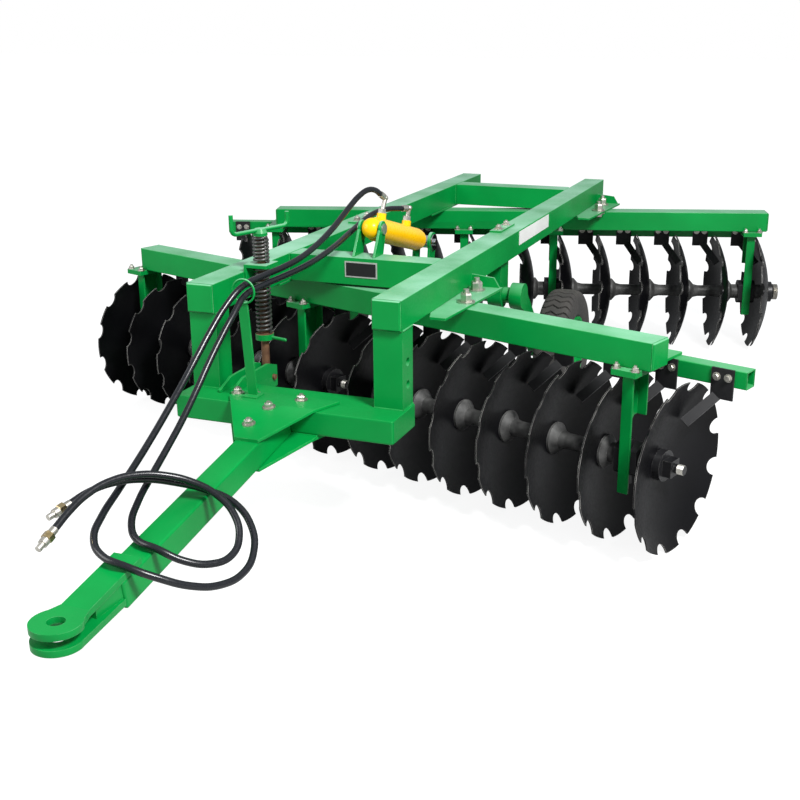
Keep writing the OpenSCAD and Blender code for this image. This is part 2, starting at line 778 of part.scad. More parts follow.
// Along the cylinder: Y runs from the base pin to the rod's eye, Z square to it.
module on_cylinder() at_base_pin() rotate([cyl_slope, 0, 0]) children();

module cylinder_ears() part(GREEN) for (x = [-ear_gap / 2 - ear_t, ear_gap / 2]) difference() {
    union() {
        translate([cyl_x, 0, 0]) side_plate([[front_cross_y + ear_step, frame_top],
            [front_cross_y + beam, frame_top], [base_pin_y + ear_r, base_pin_z],
            [base_pin_y - ear_r, base_pin_z]], x, x + ear_t);
        at_base_pin() tube_x(ear_r, x, x + ear_t);
    }
    at_base_pin() tube_x(pin_r + pin_fit, x - over, x + ear_t + over);
}

module base_pin() part(STEEL) at_base_pin() {
    outer = ear_gap / 2 + ear_t;
    tube_x(pin_r, -outer - pin_tail, outer);
    tube_x(head_r, outer, outer + head_t);
}

ball_r = barrel_r - 7;
neck_r = barrel_r - 15;
barrel_start = 48;
gland_len = 26;
gland_in = 4;
bore_len = 300;
rod_tail = 140;
port_places = [95, 405];
port_r = 21;
port_h = 22;
port_top = barrel_r + port_h;

// The barrel: a ball end on the base pin, the tube with its gland, and two raised ports.
module cylinder_barrel() part(YELLOW) on_cylinder() difference() {
    union() {
        intersection() {
            sphere(r = ball_r, $fn = fine);
            tube_x(ball_r, eye_side - ear_gap / 2, ear_gap / 2 - eye_side);
        }
        tube_y(neck_r, 0, barrel_start);
        tube_y(barrel_r, barrel_start, barrel_len - gland_len);
        tube_y(barrel_r - gland_in, barrel_len - gland_len, barrel_len);
        for (y = port_places) translate([0, y, 0]) cylinder(r = port_r, h = port_top);
    }
    tube_x(pin_r + pin_fit, -ear_gap, ear_gap);
    tube_y(rod_r + pin_fit, barrel_len - bore_len, barrel_len + over);
}

rod_eye_r = pin_r + 14;
rod_washer_r = pin_r + drift + 9;
rod_washer_t = 6;
side_gap = 1;

// The rod with its eye, and the pin whose washers cover the lever's wide holes.
module cylinder_rod() part(STEEL) on_cylinder() {
    tube_y(rod_r, barrel_len - bore_len + rod_tail, cyl_reach);
    translate([0, cyl_reach, 0]) {
        outer = lever_x + lever_t + side_gap;
        tube_x(rod_eye_r, -eye_w / 2, eye_w / 2);
        tube_x(pin_r, -outer - rod_washer_t - pin_tail, outer + rod_washer_t + pin_tail);
        for (x = [-outer - rod_washer_t, outer]) tube_x(rod_washer_r, x, x + rod_washer_t);
    }
}

// Levelling screw between the left side beam and the arms on the draft beam

arm_pin_z = draft_top - 26;
arm_pin_r = 12;
link_gap = 44;
link_t = 12;
screw_eye_r = 26;
collar_z = arm_pin_z + 165;
collar_t = 24;
collar_r = spring_r + 3;
screw_plate_z = frame_top + 15;
screw_plate_t = 15;
crank_z = frame_top + crank_rise;
crank_hub_r = 30;
crank_hub_half = 22;

module at_screw() translate([screw_x, screw_y, 0]) children();

// The screw with the eye that hangs on the arms' pin, and the collar under the lower spring.
module levelling_screw() part(RUST) at_screw() {
    translate([0, 0, arm_pin_z]) {
        cylinder(r = screw_r, h = crank_z - arm_pin_z);
        tube_x(screw_eye_r, side_gap - link_gap / 2, link_gap / 2 - side_gap);
        tube_x(arm_pin_r, -link_gap / 2 - link_t - pin_tail, link_gap / 2 + link_t + pin_tail);
    }
    translate([0, 0, collar_z]) cylinder(r = collar_r, h = collar_t);
}

// A tube of a few sides round a chain of rings, closed at both ends.
module ringed_tube(rings) {
    sides = len(rings[0]);
    n = len(rings);
    polyhedron([for (ring = rings) each ring], concat(
        [[for (k = [0 : sides - 1]) k]],
        [for (i = [0 : n - 2]) for (k = [0 : sides - 1]) let (next = (k + 1) % sides)
            [i * sides + k, (i + 1) * sides + k, (i + 1) * sides + next, i * sides + next]],
        [[for (k = [sides - 1 : -1 : 0]) (n - 1) * sides + k]]));
}

tube_sides = 8;
coil_steps = 14;

// A coil spring about Z from height z0 to z1 at the middle of its wire.
module coil(z0, z1, turns) {
    steps = turns * coil_steps;
    ringed_tube([for (i = [0 : steps]) let (a = 360 * turns * i / steps, z = z0 + (z1 - z0) * i / steps)
        [for (k = [0 : tube_sides - 1])
            let (b = 360 * k / tube_sides, r = spring_r - wire_r + wire_r * cos(b))
            [r * cos(a), r * sin(a), z + wire_r * sin(b)]]]);
}

lower_turns = 13;
upper_turns = 5;

// One spring under the bracket on the side beam and one over it.
module levelling_springs() part(BLACK) at_screw() {
    rest = wire_r + seat;
    coil(collar_z + collar_t + rest, screw_plate_z - rest, lower_turns);
    coil(screw_plate_z + screw_plate_t + rest, crank_z - crank_hub_half - rest, upper_turns);
}

crank_r = 9;
crank_arm = 110;
crank_up = 61;
crank_down = 60;
crank_turn = 12;

// A Z-shaped crank: a hub, two arms, one grip up and one down.
module levelling_crank() part(GREEN) at_screw() translate([0, 0, crank_z]) {
    difference() {
        translate([0, 0, -crank_hub_half]) cylinder(r = crank_hub_r, h = 2 * crank_hub_half);
        translate([0, 0, -crank_hub_half - over])
            cylinder(r = screw_r + seat, h = crank_hub_half + over + seat);
    }
    rotate([0, 0, crank_turn]) {
        tube_x(crank_r, crank_hub_r - crank_r, crank_arm);
        tube_x(crank_r, -crank_arm, crank_r - crank_hub_r);
        translate([crank_arm, 0, -crank_r]) cylinder(r = crank_r, h = crank_r + crank_up);
        translate([-crank_arm, 0, -crank_down]) cylinder(r = crank_r, h = crank_down + crank_r);
    }
}

bracket_half = 55;
bracket_reach = 50;
bracket_wall = 12;
bracket_drop = 75;

// An angle on the left side beam's inner face, its flange pierced by the screw.
module screw_bracket() part(GREEN) difference() {
    union() {
        box([-inner_x, screw_y - bracket_half, screw_plate_z],
            [screw_x + bracket_reach, screw_y + bracket_half, screw_plate_z + screw_plate_t]);
        box([-inner_x, screw_y - bracket_half, screw_plate_z - bracket_drop],
            [bracket_wall - inner_x, screw_y + bracket_half, screw_plate_z]);
    }
    at_screw() translate([0, 0, screw_plate_z - over])
        cylinder(r = screw_r + 3, h = screw_plate_t + 2 * over);
}

link_front = -30;
link_step = 60;
link_rise = 44;
link_drop = 20;
link_end = 34;

// Two plates on the draft beam that reach back to the screw's pin.
module screw_arms() part(GREEN) for (x = [-link_gap / 2 - link_t, link_gap / 2]) difference() {
    back = draft_back + seat;
    side_plate([[link_front, draft_top], [back, draft_top], [back, draft_bottom + link_drop],
        [screw_y + link_end, draft_bottom + link_drop], [screw_y + link_end, arm_pin_z + link_rise],
        [screw_y - link_rise, draft_top + link_rise], [link_step, draft_top + link_rise],
        [link_front, draft_top + link_t]], screw_x + x, screw_x + x + link_t);
    at_screw() translate([0, 0, arm_pin_z]) tube_x(arm_pin_r + pin_fit, x - over, x + link_t + over);
}

// Hose stand, hoses, and the fittings at both their ends

stand_x = -146;
stand_w = 40;
stand_t = 8;
stand_y = [-55, -100];
stand_h = 397;
foot_half = 32;
ring_x = -138;
ring_y = -104;
ring_h = 435;
ring_r = 46;
ring_wire = 4;
stand_z = draft_top + draft_plate_t;

// A flat bar that leans forward from the draft plate, with a ring for the hoses at its top.
module hose_stand() part(GREEN) {
    box([stand_x - foot_half, stand_y[0] - foot_half, stand_z],
        [stand_x + foot_half, stand_y[0] + foot_half, stand_z + stand_t]);
    side_plate([[stand_y[0] - stand_t / 2, stand_z + stand_t], [stand_y[0] + stand_t / 2, stand_z + stand_t],
        [stand_y[1] + stand_t / 2, stand_z + stand_h], [stand_y[1] - stand_t / 2, stand_z + stand_h]],
        stand_x - stand_w / 2, stand_x + stand_w / 2);
    translate([ring_x, ring_y, stand_z + ring_h]) rotate([90, 0, 0]) rotate_extrude()
        translate([ring_r, 0]) circle(r = ring_wire);
}

// The hoses' middle lines, from the cylinder's ports through the ring, down beside the drawbar,
// round in a loop over it and out to the couplers.
near_route = [[8, 890, 1186], [0, 857, 1206], [-16, 812, 1213], [-34, 758, 1194], [-46, 700, 1164],
    [-53, 620, 1126], [-56, 520, 1088], [-62, 380, 1046], [-73, 250, 1017], [-94, 140, 1000],
    [-121, 20, 988], [-146, -104, 968], [-172, -190, 908], [-190, -270, 836], [-203, -350, 762],
    [-210, -440, 690], [-210, -560, 615], [-206, -680, 550], [-198, -800, 496], [-184, -930, 450],
    [-162, -1050, 418], [-122, -1155, 392], [-45, -1222, 373], [50, -1234, 358], [138, -1200, 320],
    [208, -1130, 272], [260, -1040, 242], [286, -940, 242], [276, -850, 272], [232, -778, 326],
    [150, -740, 384], [45, -746, 420], [-50, -790, 450], [-125, -862, 478], [-184, -950, 490],
    [-222, -1035, 484], [-240, -1105, 470]];

far_route = [[0, 1170, 1078], [-40, 1090, 1085], [-66, 1000, 1080], [-74, 900, 1064], [-74, 800, 1046],
    [-70, 700, 1030], [-64, 600, 1015], [-60, 480, 1000], [-64, 360, 985], [-78, 240, 972],
    [-98, 120, 962], [-118, 10, 953], [-134, -104, 936], [-136, -190, 884], [-146, -270, 816],
    [-154, -350, 744], [-158, -440, 664], [-155, -560, 580], [-148, -680, 515], [-137, -800, 460],
    [-118, -910, 418], [-80, -1010, 386], [-15, -1075, 366], [66, -1092, 358], [146, -1066, 318],
    [208, -1005, 290], [238, -925, 290], [228, -855, 324], [184, -806, 376], [112, -784, 424],
    [24, -792, 462], [-56, -836, 492], [-120, -902, 510], [-168, -985, 512], [-196, -1072, 496],
    [-206, -1155, 470], [-208, -1230, 440]];

function unit(v) = v / norm(v);

function heading(route, i) = unit(route[min(i + 1, len(route) - 1)] - route[max(i - 1, 0)]);

// A round tube of tube_sides sides along a route.
module hose(route) ringed_tube([for (i = [0 : len(route) - 1])
    let (t = heading(route, i), u = unit(cross(t, [0, 0, 1])), v = cross(u, t))
    [for (k = [0 : tube_sides - 1]) let (b = 360 * k / tube_sides)
        route[i] + hose_d / 2 * (cos(b) * u + sin(b) * v)]]);

module hose_near() part(BLACK) hose(near_route);

module hose_far() part(BLACK) hose(far_route);

// Turns what is drawn along Z at the origin to start at p and run along d.
module aimed(p, d) translate(p) rotate([0, acos(d[2] / norm(d)), atan2(d[1], d[0])]) children();

// Lengths and radii of a coupler's grip, collar and tip, from the hose outwards
coupler_steps = [[40, 14], [26, 16], [24, 11]];

module coupler(route) {
    n = len(route) - 1;
    d = heading(route, n);
    aimed(route[n] + d * seat, d) {
        cylinder(r = coupler_steps[0][1], h = coupler_steps[0][0]);
        translate([0, 0, coupler_steps[0][0]]) cylinder(r = coupler_steps[1][1], h = coupler_steps[1][0]);
        translate([0, 0, coupler_steps[0][0] + coupler_steps[1][0]])
            cylinder(r = coupler_steps[2][1], h = coupler_steps[2][0]);
    }
}

module couplers() part(STEEL) {
    coupler(near_route);
    coupler(far_route);
}

fitting_nut_r = 19;
fitting_nut_h = 20;
pipe_r = 10;
knuckle_r = pipe_r + 3;
ferrule_r = 15;
ferrule_len = 30;
elbow_back = 46;
hose_slip = 0.9;

// An elbow from a port to the start of its hose: a hexagon nut, a bent pipe and a ferrule.
// The ferrule stops just short of the hose, because the barrel rocks a little on its pin.
module port_fitting(place, route) {
    d = heading(route, 0);
    foot = [cyl_x, base_pin_y, base_pin_z] + [0, place * cos(cyl_slope) - port_top * sin(cyl_slope),
        place * sin(cyl_slope) + port_top * cos(cyl_slope)];
    corner = route[0] - d * elbow_back;
    on_cylinder() translate([0, place, port_top]) cylinder(r = fitting_nut_r, h = fitting_nut_h, $fn = 6);
    rise = corner - foot;
    aimed(foot + unit(rise) * pipe_r, rise) cylinder(r = pipe_r, h = norm(rise) - pipe_r);
    translate(corner) sphere(r = knuckle_r);
    aimed(corner, d) cylinder(r = pipe_r, h = elbow_back - hose_slip);
    aimed(route[0] - d * (ferrule_len + hose_slip), d) cylinder(r = ferrule_r, h = ferrule_len);
}

module port_fittings() part(STEEL) {
    port_fitting(port_places[0], near_route);
    port_fitting(port_places[1], far_route);
}

left_beam();
right_beam();
front_cross_beam();
rear_cross_beam();
front_posts();
draft_beam();
draft_plates();
drawbar();
hitch_plates();
nose_block();
front_gang_beam();
rear_gang_beam();
front_gang_brackets();
rear_gang_brackets();
front_hangers();
rear_hangers();
front_bearings();
rear_bearings();
front_scraper_bar();
rear_scraper_bar();
front_scrapers();
rear_scrapers();
levelling_screw();
levelling_springs();
levelling_crank();
screw_bracket();
screw_arms();
hose_stand();
cylinder_ears();
base_pin();
cylinder_barrel();
port_fittings();
cylinder_rod();
lift_shaft();
lift_lever();
wheel_arms();
shaft_hangers();
left_rim();
right_rim();
left_tyre();
right_tyre();
front_right_discs();
front_right_spools();
front_right_bolt();
front_left_discs();
front_left_spools();
front_left_bolt();
rear_right_discs();
rear_right_spools();
rear_right_bolt();
rear_left_discs();
rear_left_spools();
rear_left_bolt();
hose_near();
hose_far();
couplers();
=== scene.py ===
# %% [markdown]
# # A trailed offset disc harrow
# The solid model arrives as named nodes on jointed bodies. This lesson adds what a solid model leaves
# out: hoses that bend smoothly, tread on the tyres, bolts, weld beads, and paint that looks sprayed and
# used. Everything is measured in metres. Places on the machine are easier to think of in millimetres,
# counted from the front end of the two side beams, so the first cells make that short way of writing
# them.

# %% Load the frame
import math
import random

import bmesh
import bpy
from mathutils import Matrix, Vector


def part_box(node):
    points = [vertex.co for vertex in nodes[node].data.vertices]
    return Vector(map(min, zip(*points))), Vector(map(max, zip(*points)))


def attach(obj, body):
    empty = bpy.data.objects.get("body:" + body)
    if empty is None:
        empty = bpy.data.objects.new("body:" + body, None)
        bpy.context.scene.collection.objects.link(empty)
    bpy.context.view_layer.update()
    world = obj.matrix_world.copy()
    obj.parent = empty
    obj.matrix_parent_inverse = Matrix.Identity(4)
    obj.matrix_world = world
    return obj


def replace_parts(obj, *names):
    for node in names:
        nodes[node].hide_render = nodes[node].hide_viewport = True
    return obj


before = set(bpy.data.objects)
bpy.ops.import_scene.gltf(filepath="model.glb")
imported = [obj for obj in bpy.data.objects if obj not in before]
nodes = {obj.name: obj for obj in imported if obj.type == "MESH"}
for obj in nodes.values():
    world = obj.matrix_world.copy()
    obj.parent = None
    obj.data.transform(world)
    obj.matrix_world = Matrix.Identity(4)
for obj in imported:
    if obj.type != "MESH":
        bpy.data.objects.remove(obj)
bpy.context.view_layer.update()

# %% [markdown]
# ## Places on the machine
# The middle of the two side beams is x = 0, their front ends are y = 0 and the ground is z = 0. Places
# could be typed in metres from the frame's own origin, but a maker measures from the beams. So one helper
# turns machine millimetres into metres, and another reads a node's box back in millimetres.

# %% Machine millimetres to metres
left_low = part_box("left_beam")[0]
right_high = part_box("right_beam")[1]
ORIGIN = Vector(((left_low.x + right_high.x) / 2, left_low.y, 0))


def at(x, y, z):
    return ORIGIN + Vector((x, y, z)) / 1000


def machine_box(name):
    return [Vector([round(v * 1000, 2) for v in corner - ORIGIN]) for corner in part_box(name)]


beam_low, beam_high = machine_box("right_beam")
BEAM_X = (beam_low.x + beam_high.x) / 2
print("origin", [round(v, 4) for v in ORIGIN], "beam centre", round(BEAM_X, 1), "mm")

# %% [markdown]
# ## Gang lines
# Each gang beam crosses the frame at an angle, so a place on a gang is given by how far it is along the
# gang, how far behind its axle, and how high. A turned empty object could carry the pieces instead. A
# function is shorter, and it leaves nothing in the scene.

# %% Gang lines
FRONT_TURN = math.radians(-17.8)
REAR_TURN = math.radians(16.2)
# Where the gang's line crosses x = 0, how far it is turned, and the side that its bolts are on
GANGS = {"front": (712, FRONT_TURN, 1), "rear": (2870, REAR_TURN, -1)}


def on_gang(gang, along, behind, z):
    y, turn, _ = GANGS[gang]
    c = math.cos(turn)
    s = math.sin(turn)
    return at(along * c - behind * s, y + along * s + behind * c, z)


def gang_axis(gang, along, behind):
    return (on_gang(gang, along, behind, 0) - on_gang(gang, 0, 0, 0)).normalized()


print("gang axes", {gang: [round(v, 3) for v in gang_axis(gang, 1, 0)] for gang in GANGS})

# %% [markdown]
# ## Camera
# The camera stands in front and to the right, a little above the frame. A constraint could aim it at the
# machine. Yaw, pitch and roll are used instead, because the horizon leans a little and a constraint has
# no roll.

# %% Camera
CAMERA_PLACE = (2055.2, -3947.9, 1978.9)
FOCAL_LENGTH = 53.29
YAW = 0.3849
PITCH = 0.3223
ROLL = 0.0082
ahead = Vector((-math.sin(YAW) * math.cos(PITCH), math.cos(YAW) * math.cos(PITCH), -math.sin(PITCH)))
level = Vector((math.cos(YAW), math.sin(YAW), 0))
down = ahead.cross(level)
right = level * math.cos(ROLL) + down * math.sin(ROLL)
low = down * math.cos(ROLL) - level * math.sin(ROLL)
aimed = Matrix((right, -low, -ahead)).transposed().to_4x4()
lens = bpy.data.cameras.new("camera")
lens.lens = FOCAL_LENGTH
lens.sensor_width = 36
lens.clip_end = 200
camera = bpy.data.objects.new("camera", lens)
camera.matrix_world = Matrix.Translation(at(*CAMERA_PLACE)) @ aimed
bpy.context.collection.objects.link(camera)
bpy.context.scene.camera = camera
print("camera at", [round(v, 3) for v in camera.matrix_world.translation])

# %% [markdown]
# ## Tone, speckle, and dust with painted sheen
# Paint on every part shares the same slow changes of tone, fine speckle, and pale dust on its upper
# faces high up, which on the green paint is also a painted sky sheen. Each material could have its own
# noise, but then a change has to be made many times. A node group holds it once. It gives out only
# values, and each material decides what to do with them.

# %% Group helpers
def new_group(name, inputs, outputs):
    group = bpy.data.node_groups.new(name, "ShaderNodeTree")
    for label, value in inputs.items():
        socket = group.interface.new_socket(label, in_out="INPUT", socket_type="NodeSocketFloat")
        socket.default_value = value
    for label, kind in outputs.items():
        group.interface.new_socket(label, in_out="OUTPUT", socket_type=kind)
    return group, group.nodes.new("NodeGroupInput"), group.nodes.new("NodeGroupOutput")


def add(tree, kind, **settings):
    node = tree.nodes.new(kind)
    for key, value in settings.items():
        setattr(node, key, value)
    return node


def maths(tree, operation, a, b):
    node = add(tree, "ShaderNodeMath", operation=operation, use_clamp=True)
    for socket, value in zip(node.inputs, (a, b)):
        if isinstance(value, (int, float)):
            socket.default_value = value
        else:
            tree.links.new(value, socket)
    return node.outputs[0]


def noise(tree, vector, scale, detail=4.0):
    node = add(tree, "ShaderNodeTexNoise")
    node.inputs["Detail"].default_value = detail
    tree.links.new(vector, node.inputs["Vector"])
    if isinstance(scale, (int, float)):
        node.inputs["Scale"].default_value = scale
    else:
        tree.links.new(scale, node.inputs["Scale"])
    return node.outputs["Fac"]


def spread(tree, value, low, high):
    node = add(tree, "ShaderNodeMapRange")
    tree.links.new(value, node.inputs["Value"])
    node.inputs["From Min"].default_value = low
    node.inputs["From Max"].default_value = high
    return node.outputs["Result"]


print("node groups so far", len(bpy.data.node_groups))

# %% Tone group
FLOAT = "NodeSocketFloat"
SPECK_SCALE = 90.0
PATCH_SCALE = 4.0
DUST_AND_SHEEN_STARTS = 0.5
DUST_AND_SHEEN_FULL = 0.95
tone, tone_in, tone_out = new_group("tone", {"Scale": 3.0}, {"Cloud": FLOAT, "Speck": FLOAT, "DustAndSheen": FLOAT})
place = tone.nodes.new("ShaderNodeTexCoord").outputs["Object"]
cloud = noise(tone, place, tone_in.outputs["Scale"])
speck = noise(tone, place, SPECK_SCALE, 6.0)
# This mask lightens upward faces above half a metre: dust, and on the green paint a painted sky sheen.
facing = add(tone, "ShaderNodeSeparateXYZ")
tone.links.new(tone.nodes.new("ShaderNodeNewGeometry").outputs["Normal"], facing.inputs[0])
upward = spread(tone, facing.outputs["Z"], 0.2, 1.0)
patches = spread(tone, noise(tone, place, PATCH_SCALE, 6.0), 0.1, 0.7)
tone.links.new(spread(tone, cloud, 0.3, 0.7), tone_out.inputs["Cloud"])
tone.links.new(spread(tone, speck, 0.35, 0.7), tone_out.inputs["Speck"])
height = add(tone, "ShaderNodeSeparateXYZ")
tone.links.new(place, height.inputs[0])
high_up = spread(tone, height.outputs["Z"], DUST_AND_SHEEN_STARTS, DUST_AND_SHEEN_FULL)
tops = maths(tone, "MULTIPLY", upward, patches)
tone.links.new(maths(tone, "MULTIPLY", tops, high_up), tone_out.inputs["DustAndSheen"])
print("group", tone.name, len(tone.nodes), "nodes")

# %% [markdown]
# ## Worn edges and painted edge highlights
# Paint goes first on corners and rims. Pointiness could find them, but it needs many vertices, and these
# flat plates have few. A rounded normal differs from the flat one only near an edge, so the difference
# marks the edge on any mesh. Noise breaks the mark up so that it is not an even line.

# %% Edge group
# This mask marks worn rims, and on the green paint it marks a painted edge highlight.
edge, edge_in, edge_out = new_group("worn_edge_and_highlight", {"Width": 0.004, "Break": 30.0}, {"Mask": FLOAT})
rounded = add(edge, "ShaderNodeBevel", samples=4)
edge.links.new(edge_in.outputs["Width"], rounded.inputs["Radius"])
flat = edge.nodes.new("ShaderNodeNewGeometry")
alike = add(edge, "ShaderNodeVectorMath", operation="DOT_PRODUCT")
edge.links.new(rounded.outputs["Normal"], alike.inputs[0])
edge.links.new(flat.outputs["Normal"], alike.inputs[1])
near = maths(edge, "SUBTRACT", 1.0, alike.outputs["Value"])
strong = spread(edge, near, 0.02, 0.2)
edge_place = edge.nodes.new("ShaderNodeTexCoord").outputs["Object"]
broken = spread(edge, noise(edge, edge_place, edge_in.outputs["Break"], 6.0), 0.36, 0.6)
edge.links.new(maths(edge, "MULTIPLY", strong, broken), edge_out.inputs["Mask"])
print("group", edge.name, len(edge.nodes), "nodes")

# %% [markdown]
# ## Surface grain
# Sprayed enamel is not quite flat, castings are grainy, and rubber is fine and dull. Real dents in the
# mesh would cost far too many faces for grain this small. One bump group serves all the finishes, each
# with a scale and strength of its own.

# %% Surface group
SKIN_INPUTS = {"Scale": 150.0, "Strength": 0.1}
BUMP_DEPTH = 0.001
skin, skin_in, skin_out = new_group("skin", SKIN_INPUTS, {"Normal": "NodeSocketVector"})
skin_place = skin.nodes.new("ShaderNodeTexCoord").outputs["Object"]
raised = add(skin, "ShaderNodeBump")
raised.inputs["Distance"].default_value = BUMP_DEPTH
skin.links.new(noise(skin, skin_place, skin_in.outputs["Scale"], 3.0), raised.inputs["Height"])
skin.links.new(skin_in.outputs["Strength"], raised.inputs["Strength"])
skin.links.new(raised.outputs["Normal"], skin_out.inputs["Normal"])
print("group", skin.name, len(skin.nodes), "nodes")

# %% [markdown]
# ## One recipe for every finish
# A finish is a dark and a light tone, a dust tone that on the green paint is also a painted sky sheen,
# a colour for worn edges that on the green paint is also a painted edge highlight, and how rough and how
# metallic it is. Each could be wired up by hand. One function with different numbers gives enamel,
# castings, plating, rubber and rust, and keeps them alike where they should be alike.

# %% Material recipe
COAT_ROUGHNESS = 0.12
M = {}


def blend_colour(tree, factor, first, second):
    node = add(tree, "ShaderNodeMix", data_type="RGBA")
    tree.links.new(factor, node.inputs["Factor"])
    for socket, value in ((node.inputs["A"], first), (node.inputs["B"], second)):
        if isinstance(value, tuple):
            socket.default_value = (*value, 1)
        else:
            tree.links.new(value, socket)
    return node.outputs["Result"]


def use(tree, group, **values):
    node = add(tree, "ShaderNodeGroup", node_tree=group)
    for key, value in values.items():
        node.inputs[key].default_value = value
    return node.outputs


def finish(name, dark, light, rough, metal=0.0, dust_and_sheen=None, wear_and_highlight=None, width=0.004, cover=0.4,
           grain=(150, 0.1), coat=0.0, scale=3.0, shine=0.5, chip=30.0):
    material = bpy.data.materials.new(name)
    material.use_nodes = True
    tree = material.node_tree
    shader = tree.nodes["Principled BSDF"]
    values = use(tree, tone, Scale=scale)
    colour = blend_colour(tree, values["Cloud"], dark, light)
    # Pale colour on upward faces: dust, and on the green paint also a painted sky sheen.
    if dust_and_sheen:
        amount = maths(tree, "MULTIPLY", values["DustAndSheen"], cover)
        colour = blend_colour(tree, amount, colour, dust_and_sheen)
    # Edge colour: wear, and on the green paint also a painted edge highlight.
    if wear_and_highlight:
        colour = blend_colour(tree, use(tree, edge, Width=width, Break=chip)["Mask"], colour, wear_and_highlight)
    tree.links.new(colour, shader.inputs["Base Color"])
    dull = add(tree, "ShaderNodeMapRange")
    tree.links.new(values["Speck"], dull.inputs["Value"])
    dull.inputs["To Min"].default_value = rough[0]
    dull.inputs["To Max"].default_value = rough[1]
    tree.links.new(dull.outputs["Result"], shader.inputs["Roughness"])
    tree.links.new(use(tree, skin, Scale=grain[0], Strength=grain[1])["Normal"], shader.inputs["Normal"])
    shader.inputs["Metallic"].default_value = metal
    shader.inputs["Coat Weight"].default_value = coat
    shader.inputs["Coat Roughness"].default_value = COAT_ROUGHNESS
    shader.inputs["Specular IOR Level"].default_value = shine
    M[name] = material


print("recipe uses", [group.name for group in (tone, edge, skin)])

# %% [markdown]
# ## Paints
# The frame is sprayed green and the cylinder yellow. The green has pale dust and a painted sky sheen on
# the tops of the high beams, and paler corners that are partly wear and partly a painted edge highlight.
# A plain colour would look like plastic, and the painted sheen is what makes the tops read as tops.

# %% Paints
# Pale tops: dust and a painted sky sheen. Paler edge green: wear and a painted edge highlight.
finish("green_paint", (0.0005, 0.20, 0.035), (0.001, 0.26, 0.047), (0.28, 0.4),
       dust_and_sheen=(0.36, 0.66, 0.49), wear_and_highlight=(0.10, 0.36, 0.15), width=0.003, cover=0.7,
       grain=(150, 0.03), coat=0.05, shine=0.16)
finish("yellow_paint", (0.90, 0.46, 0.002), (0.98, 0.56, 0.003), (0.26, 0.32),
       grain=(40, 0.004), coat=0.05, shine=0.25)
print("paints", list(M))

# %% [markdown]
# ## Black steel and castings
# The discs are black with rims that soil has rubbed bright. The spools between them are rough castings,
# worn to grey, and bearings and scrapers are painted black. All are dark, so it is their shine and wear
# that tell them apart, and each has its own.

# %% Black steel
finish("disc_steel", (0.002, 0.002, 0.0025), (0.005, 0.005, 0.006), (0.3, 0.42),
       wear_and_highlight=(0.34, 0.33, 0.31), width=0.0035, grain=(220, 0.05), shine=0.12, chip=6.0)
finish("cast_black", (0.006, 0.006, 0.007), (0.014, 0.014, 0.015), (0.4, 0.56),
       wear_and_highlight=(0.06, 0.06, 0.06), grain=(300, 0.2), shine=0.3)
finish("spool_grey", (0.012, 0.012, 0.012), (0.10, 0.10, 0.097), (0.42, 0.6),
       wear_and_highlight=(0.22, 0.22, 0.21), grain=(300, 0.25), scale=16.0, shine=0.3)
finish("black_bolt", (0.006, 0.006, 0.007), (0.014, 0.014, 0.015), (0.32, 0.46),
       wear_and_highlight=(0.16, 0.16, 0.15), width=0.002, grain=(200, 0.05), shine=0.35)
print("finishes so far", len(M))

# %% [markdown]
# ## Rubber
# A tyre is dull, dusty and grey. A hydraulic hose is blacker and has a soft shine along it. Both are the
# same recipe: the tyre is rough and grainy, and the hose is smoother.

# %% Rubber
SOIL = (0.30, 0.26, 0.20)
finish("tyre", (0.022, 0.021, 0.020), (0.045, 0.041, 0.037), (0.68, 0.85), dust_and_sheen=SOIL, cover=0.2,
       grain=(400, 0.3), scale=8.0)
finish("hose_rubber", (0.003, 0.004, 0.006), (0.007, 0.008, 0.011), (0.24, 0.34),
       grain=(500, 0.06), shine=0.5)
print("finishes so far", len(M))

# %% [markdown]
# ## Bare metals
# Bolts are zinc plated, the cylinder's rod is hard chrome, the levelling screw has rusted, its springs
# are dark steel and the hose ends have brass nuts. A metal takes its colour from what it reflects, so
# these are told apart by tint and roughness.

# %% Bare metals
finish("zinc", (0.46, 0.44, 0.39), (0.68, 0.66, 0.60), (0.36, 0.5), metal=1.0,
       wear_and_highlight=(0.8, 0.8, 0.78), width=0.0015, grain=(260, 0.15), scale=20.0)
finish("chrome", (0.68, 0.69, 0.71), (0.8, 0.81, 0.83), (0.06, 0.14), metal=1.0, grain=(300, 0.02))
finish("rusty_steel", (0.085, 0.036, 0.018), (0.20, 0.10, 0.05), (0.6, 0.85), metal=0.3,
       wear_and_highlight=(0.3, 0.24, 0.18), width=0.002, grain=(240, 0.6), scale=30.0)
finish("spring_steel", (0.05, 0.05, 0.05), (0.12, 0.117, 0.112), (0.3, 0.45), metal=0.6,
       scale=12.0, grain=(300, 0.05))
finish("brass", (0.52, 0.40, 0.20), (0.70, 0.57, 0.34), (0.2, 0.34), metal=1.0, scale=20.0)
print("finishes", len(M))

# %% [markdown]
# ## Finish for each node
# The end of a node's name says what it is made of, so a short list of endings dresses the whole machine.
# A list of every node would say the same at more length. Anything not named here is painted green.

# %% Dress the solid nodes
OTHER = {
    "disc_steel": ["discs"], "cast_black": ["spools", "bearings", "scrapers"], "black_bolt": ["_bolt"],
    "tyre": ["tyre"], "hose_rubber": ["hose_near", "hose_far"],
    "zinc": ["couplers", "port_fittings", "base_pin"], "chrome": ["cylinder_rod"],
    "yellow_paint": ["cylinder_barrel"], "rusty_steel": ["levelling_screw"],
    "spring_steel": ["levelling_springs"],
}


def slot_of(name):
    for slot, ends in OTHER.items():
        if name.endswith(tuple(ends)):
            return slot
    return "green_paint"


for name, solid in nodes.items():
    solid.data.materials.clear()
    solid.data.materials.append(M["spool_grey" if name.endswith("spools") else slot_of(name)])
print("dressed", {s: sum(slot_of(n) == s for n in nodes) for s in M})

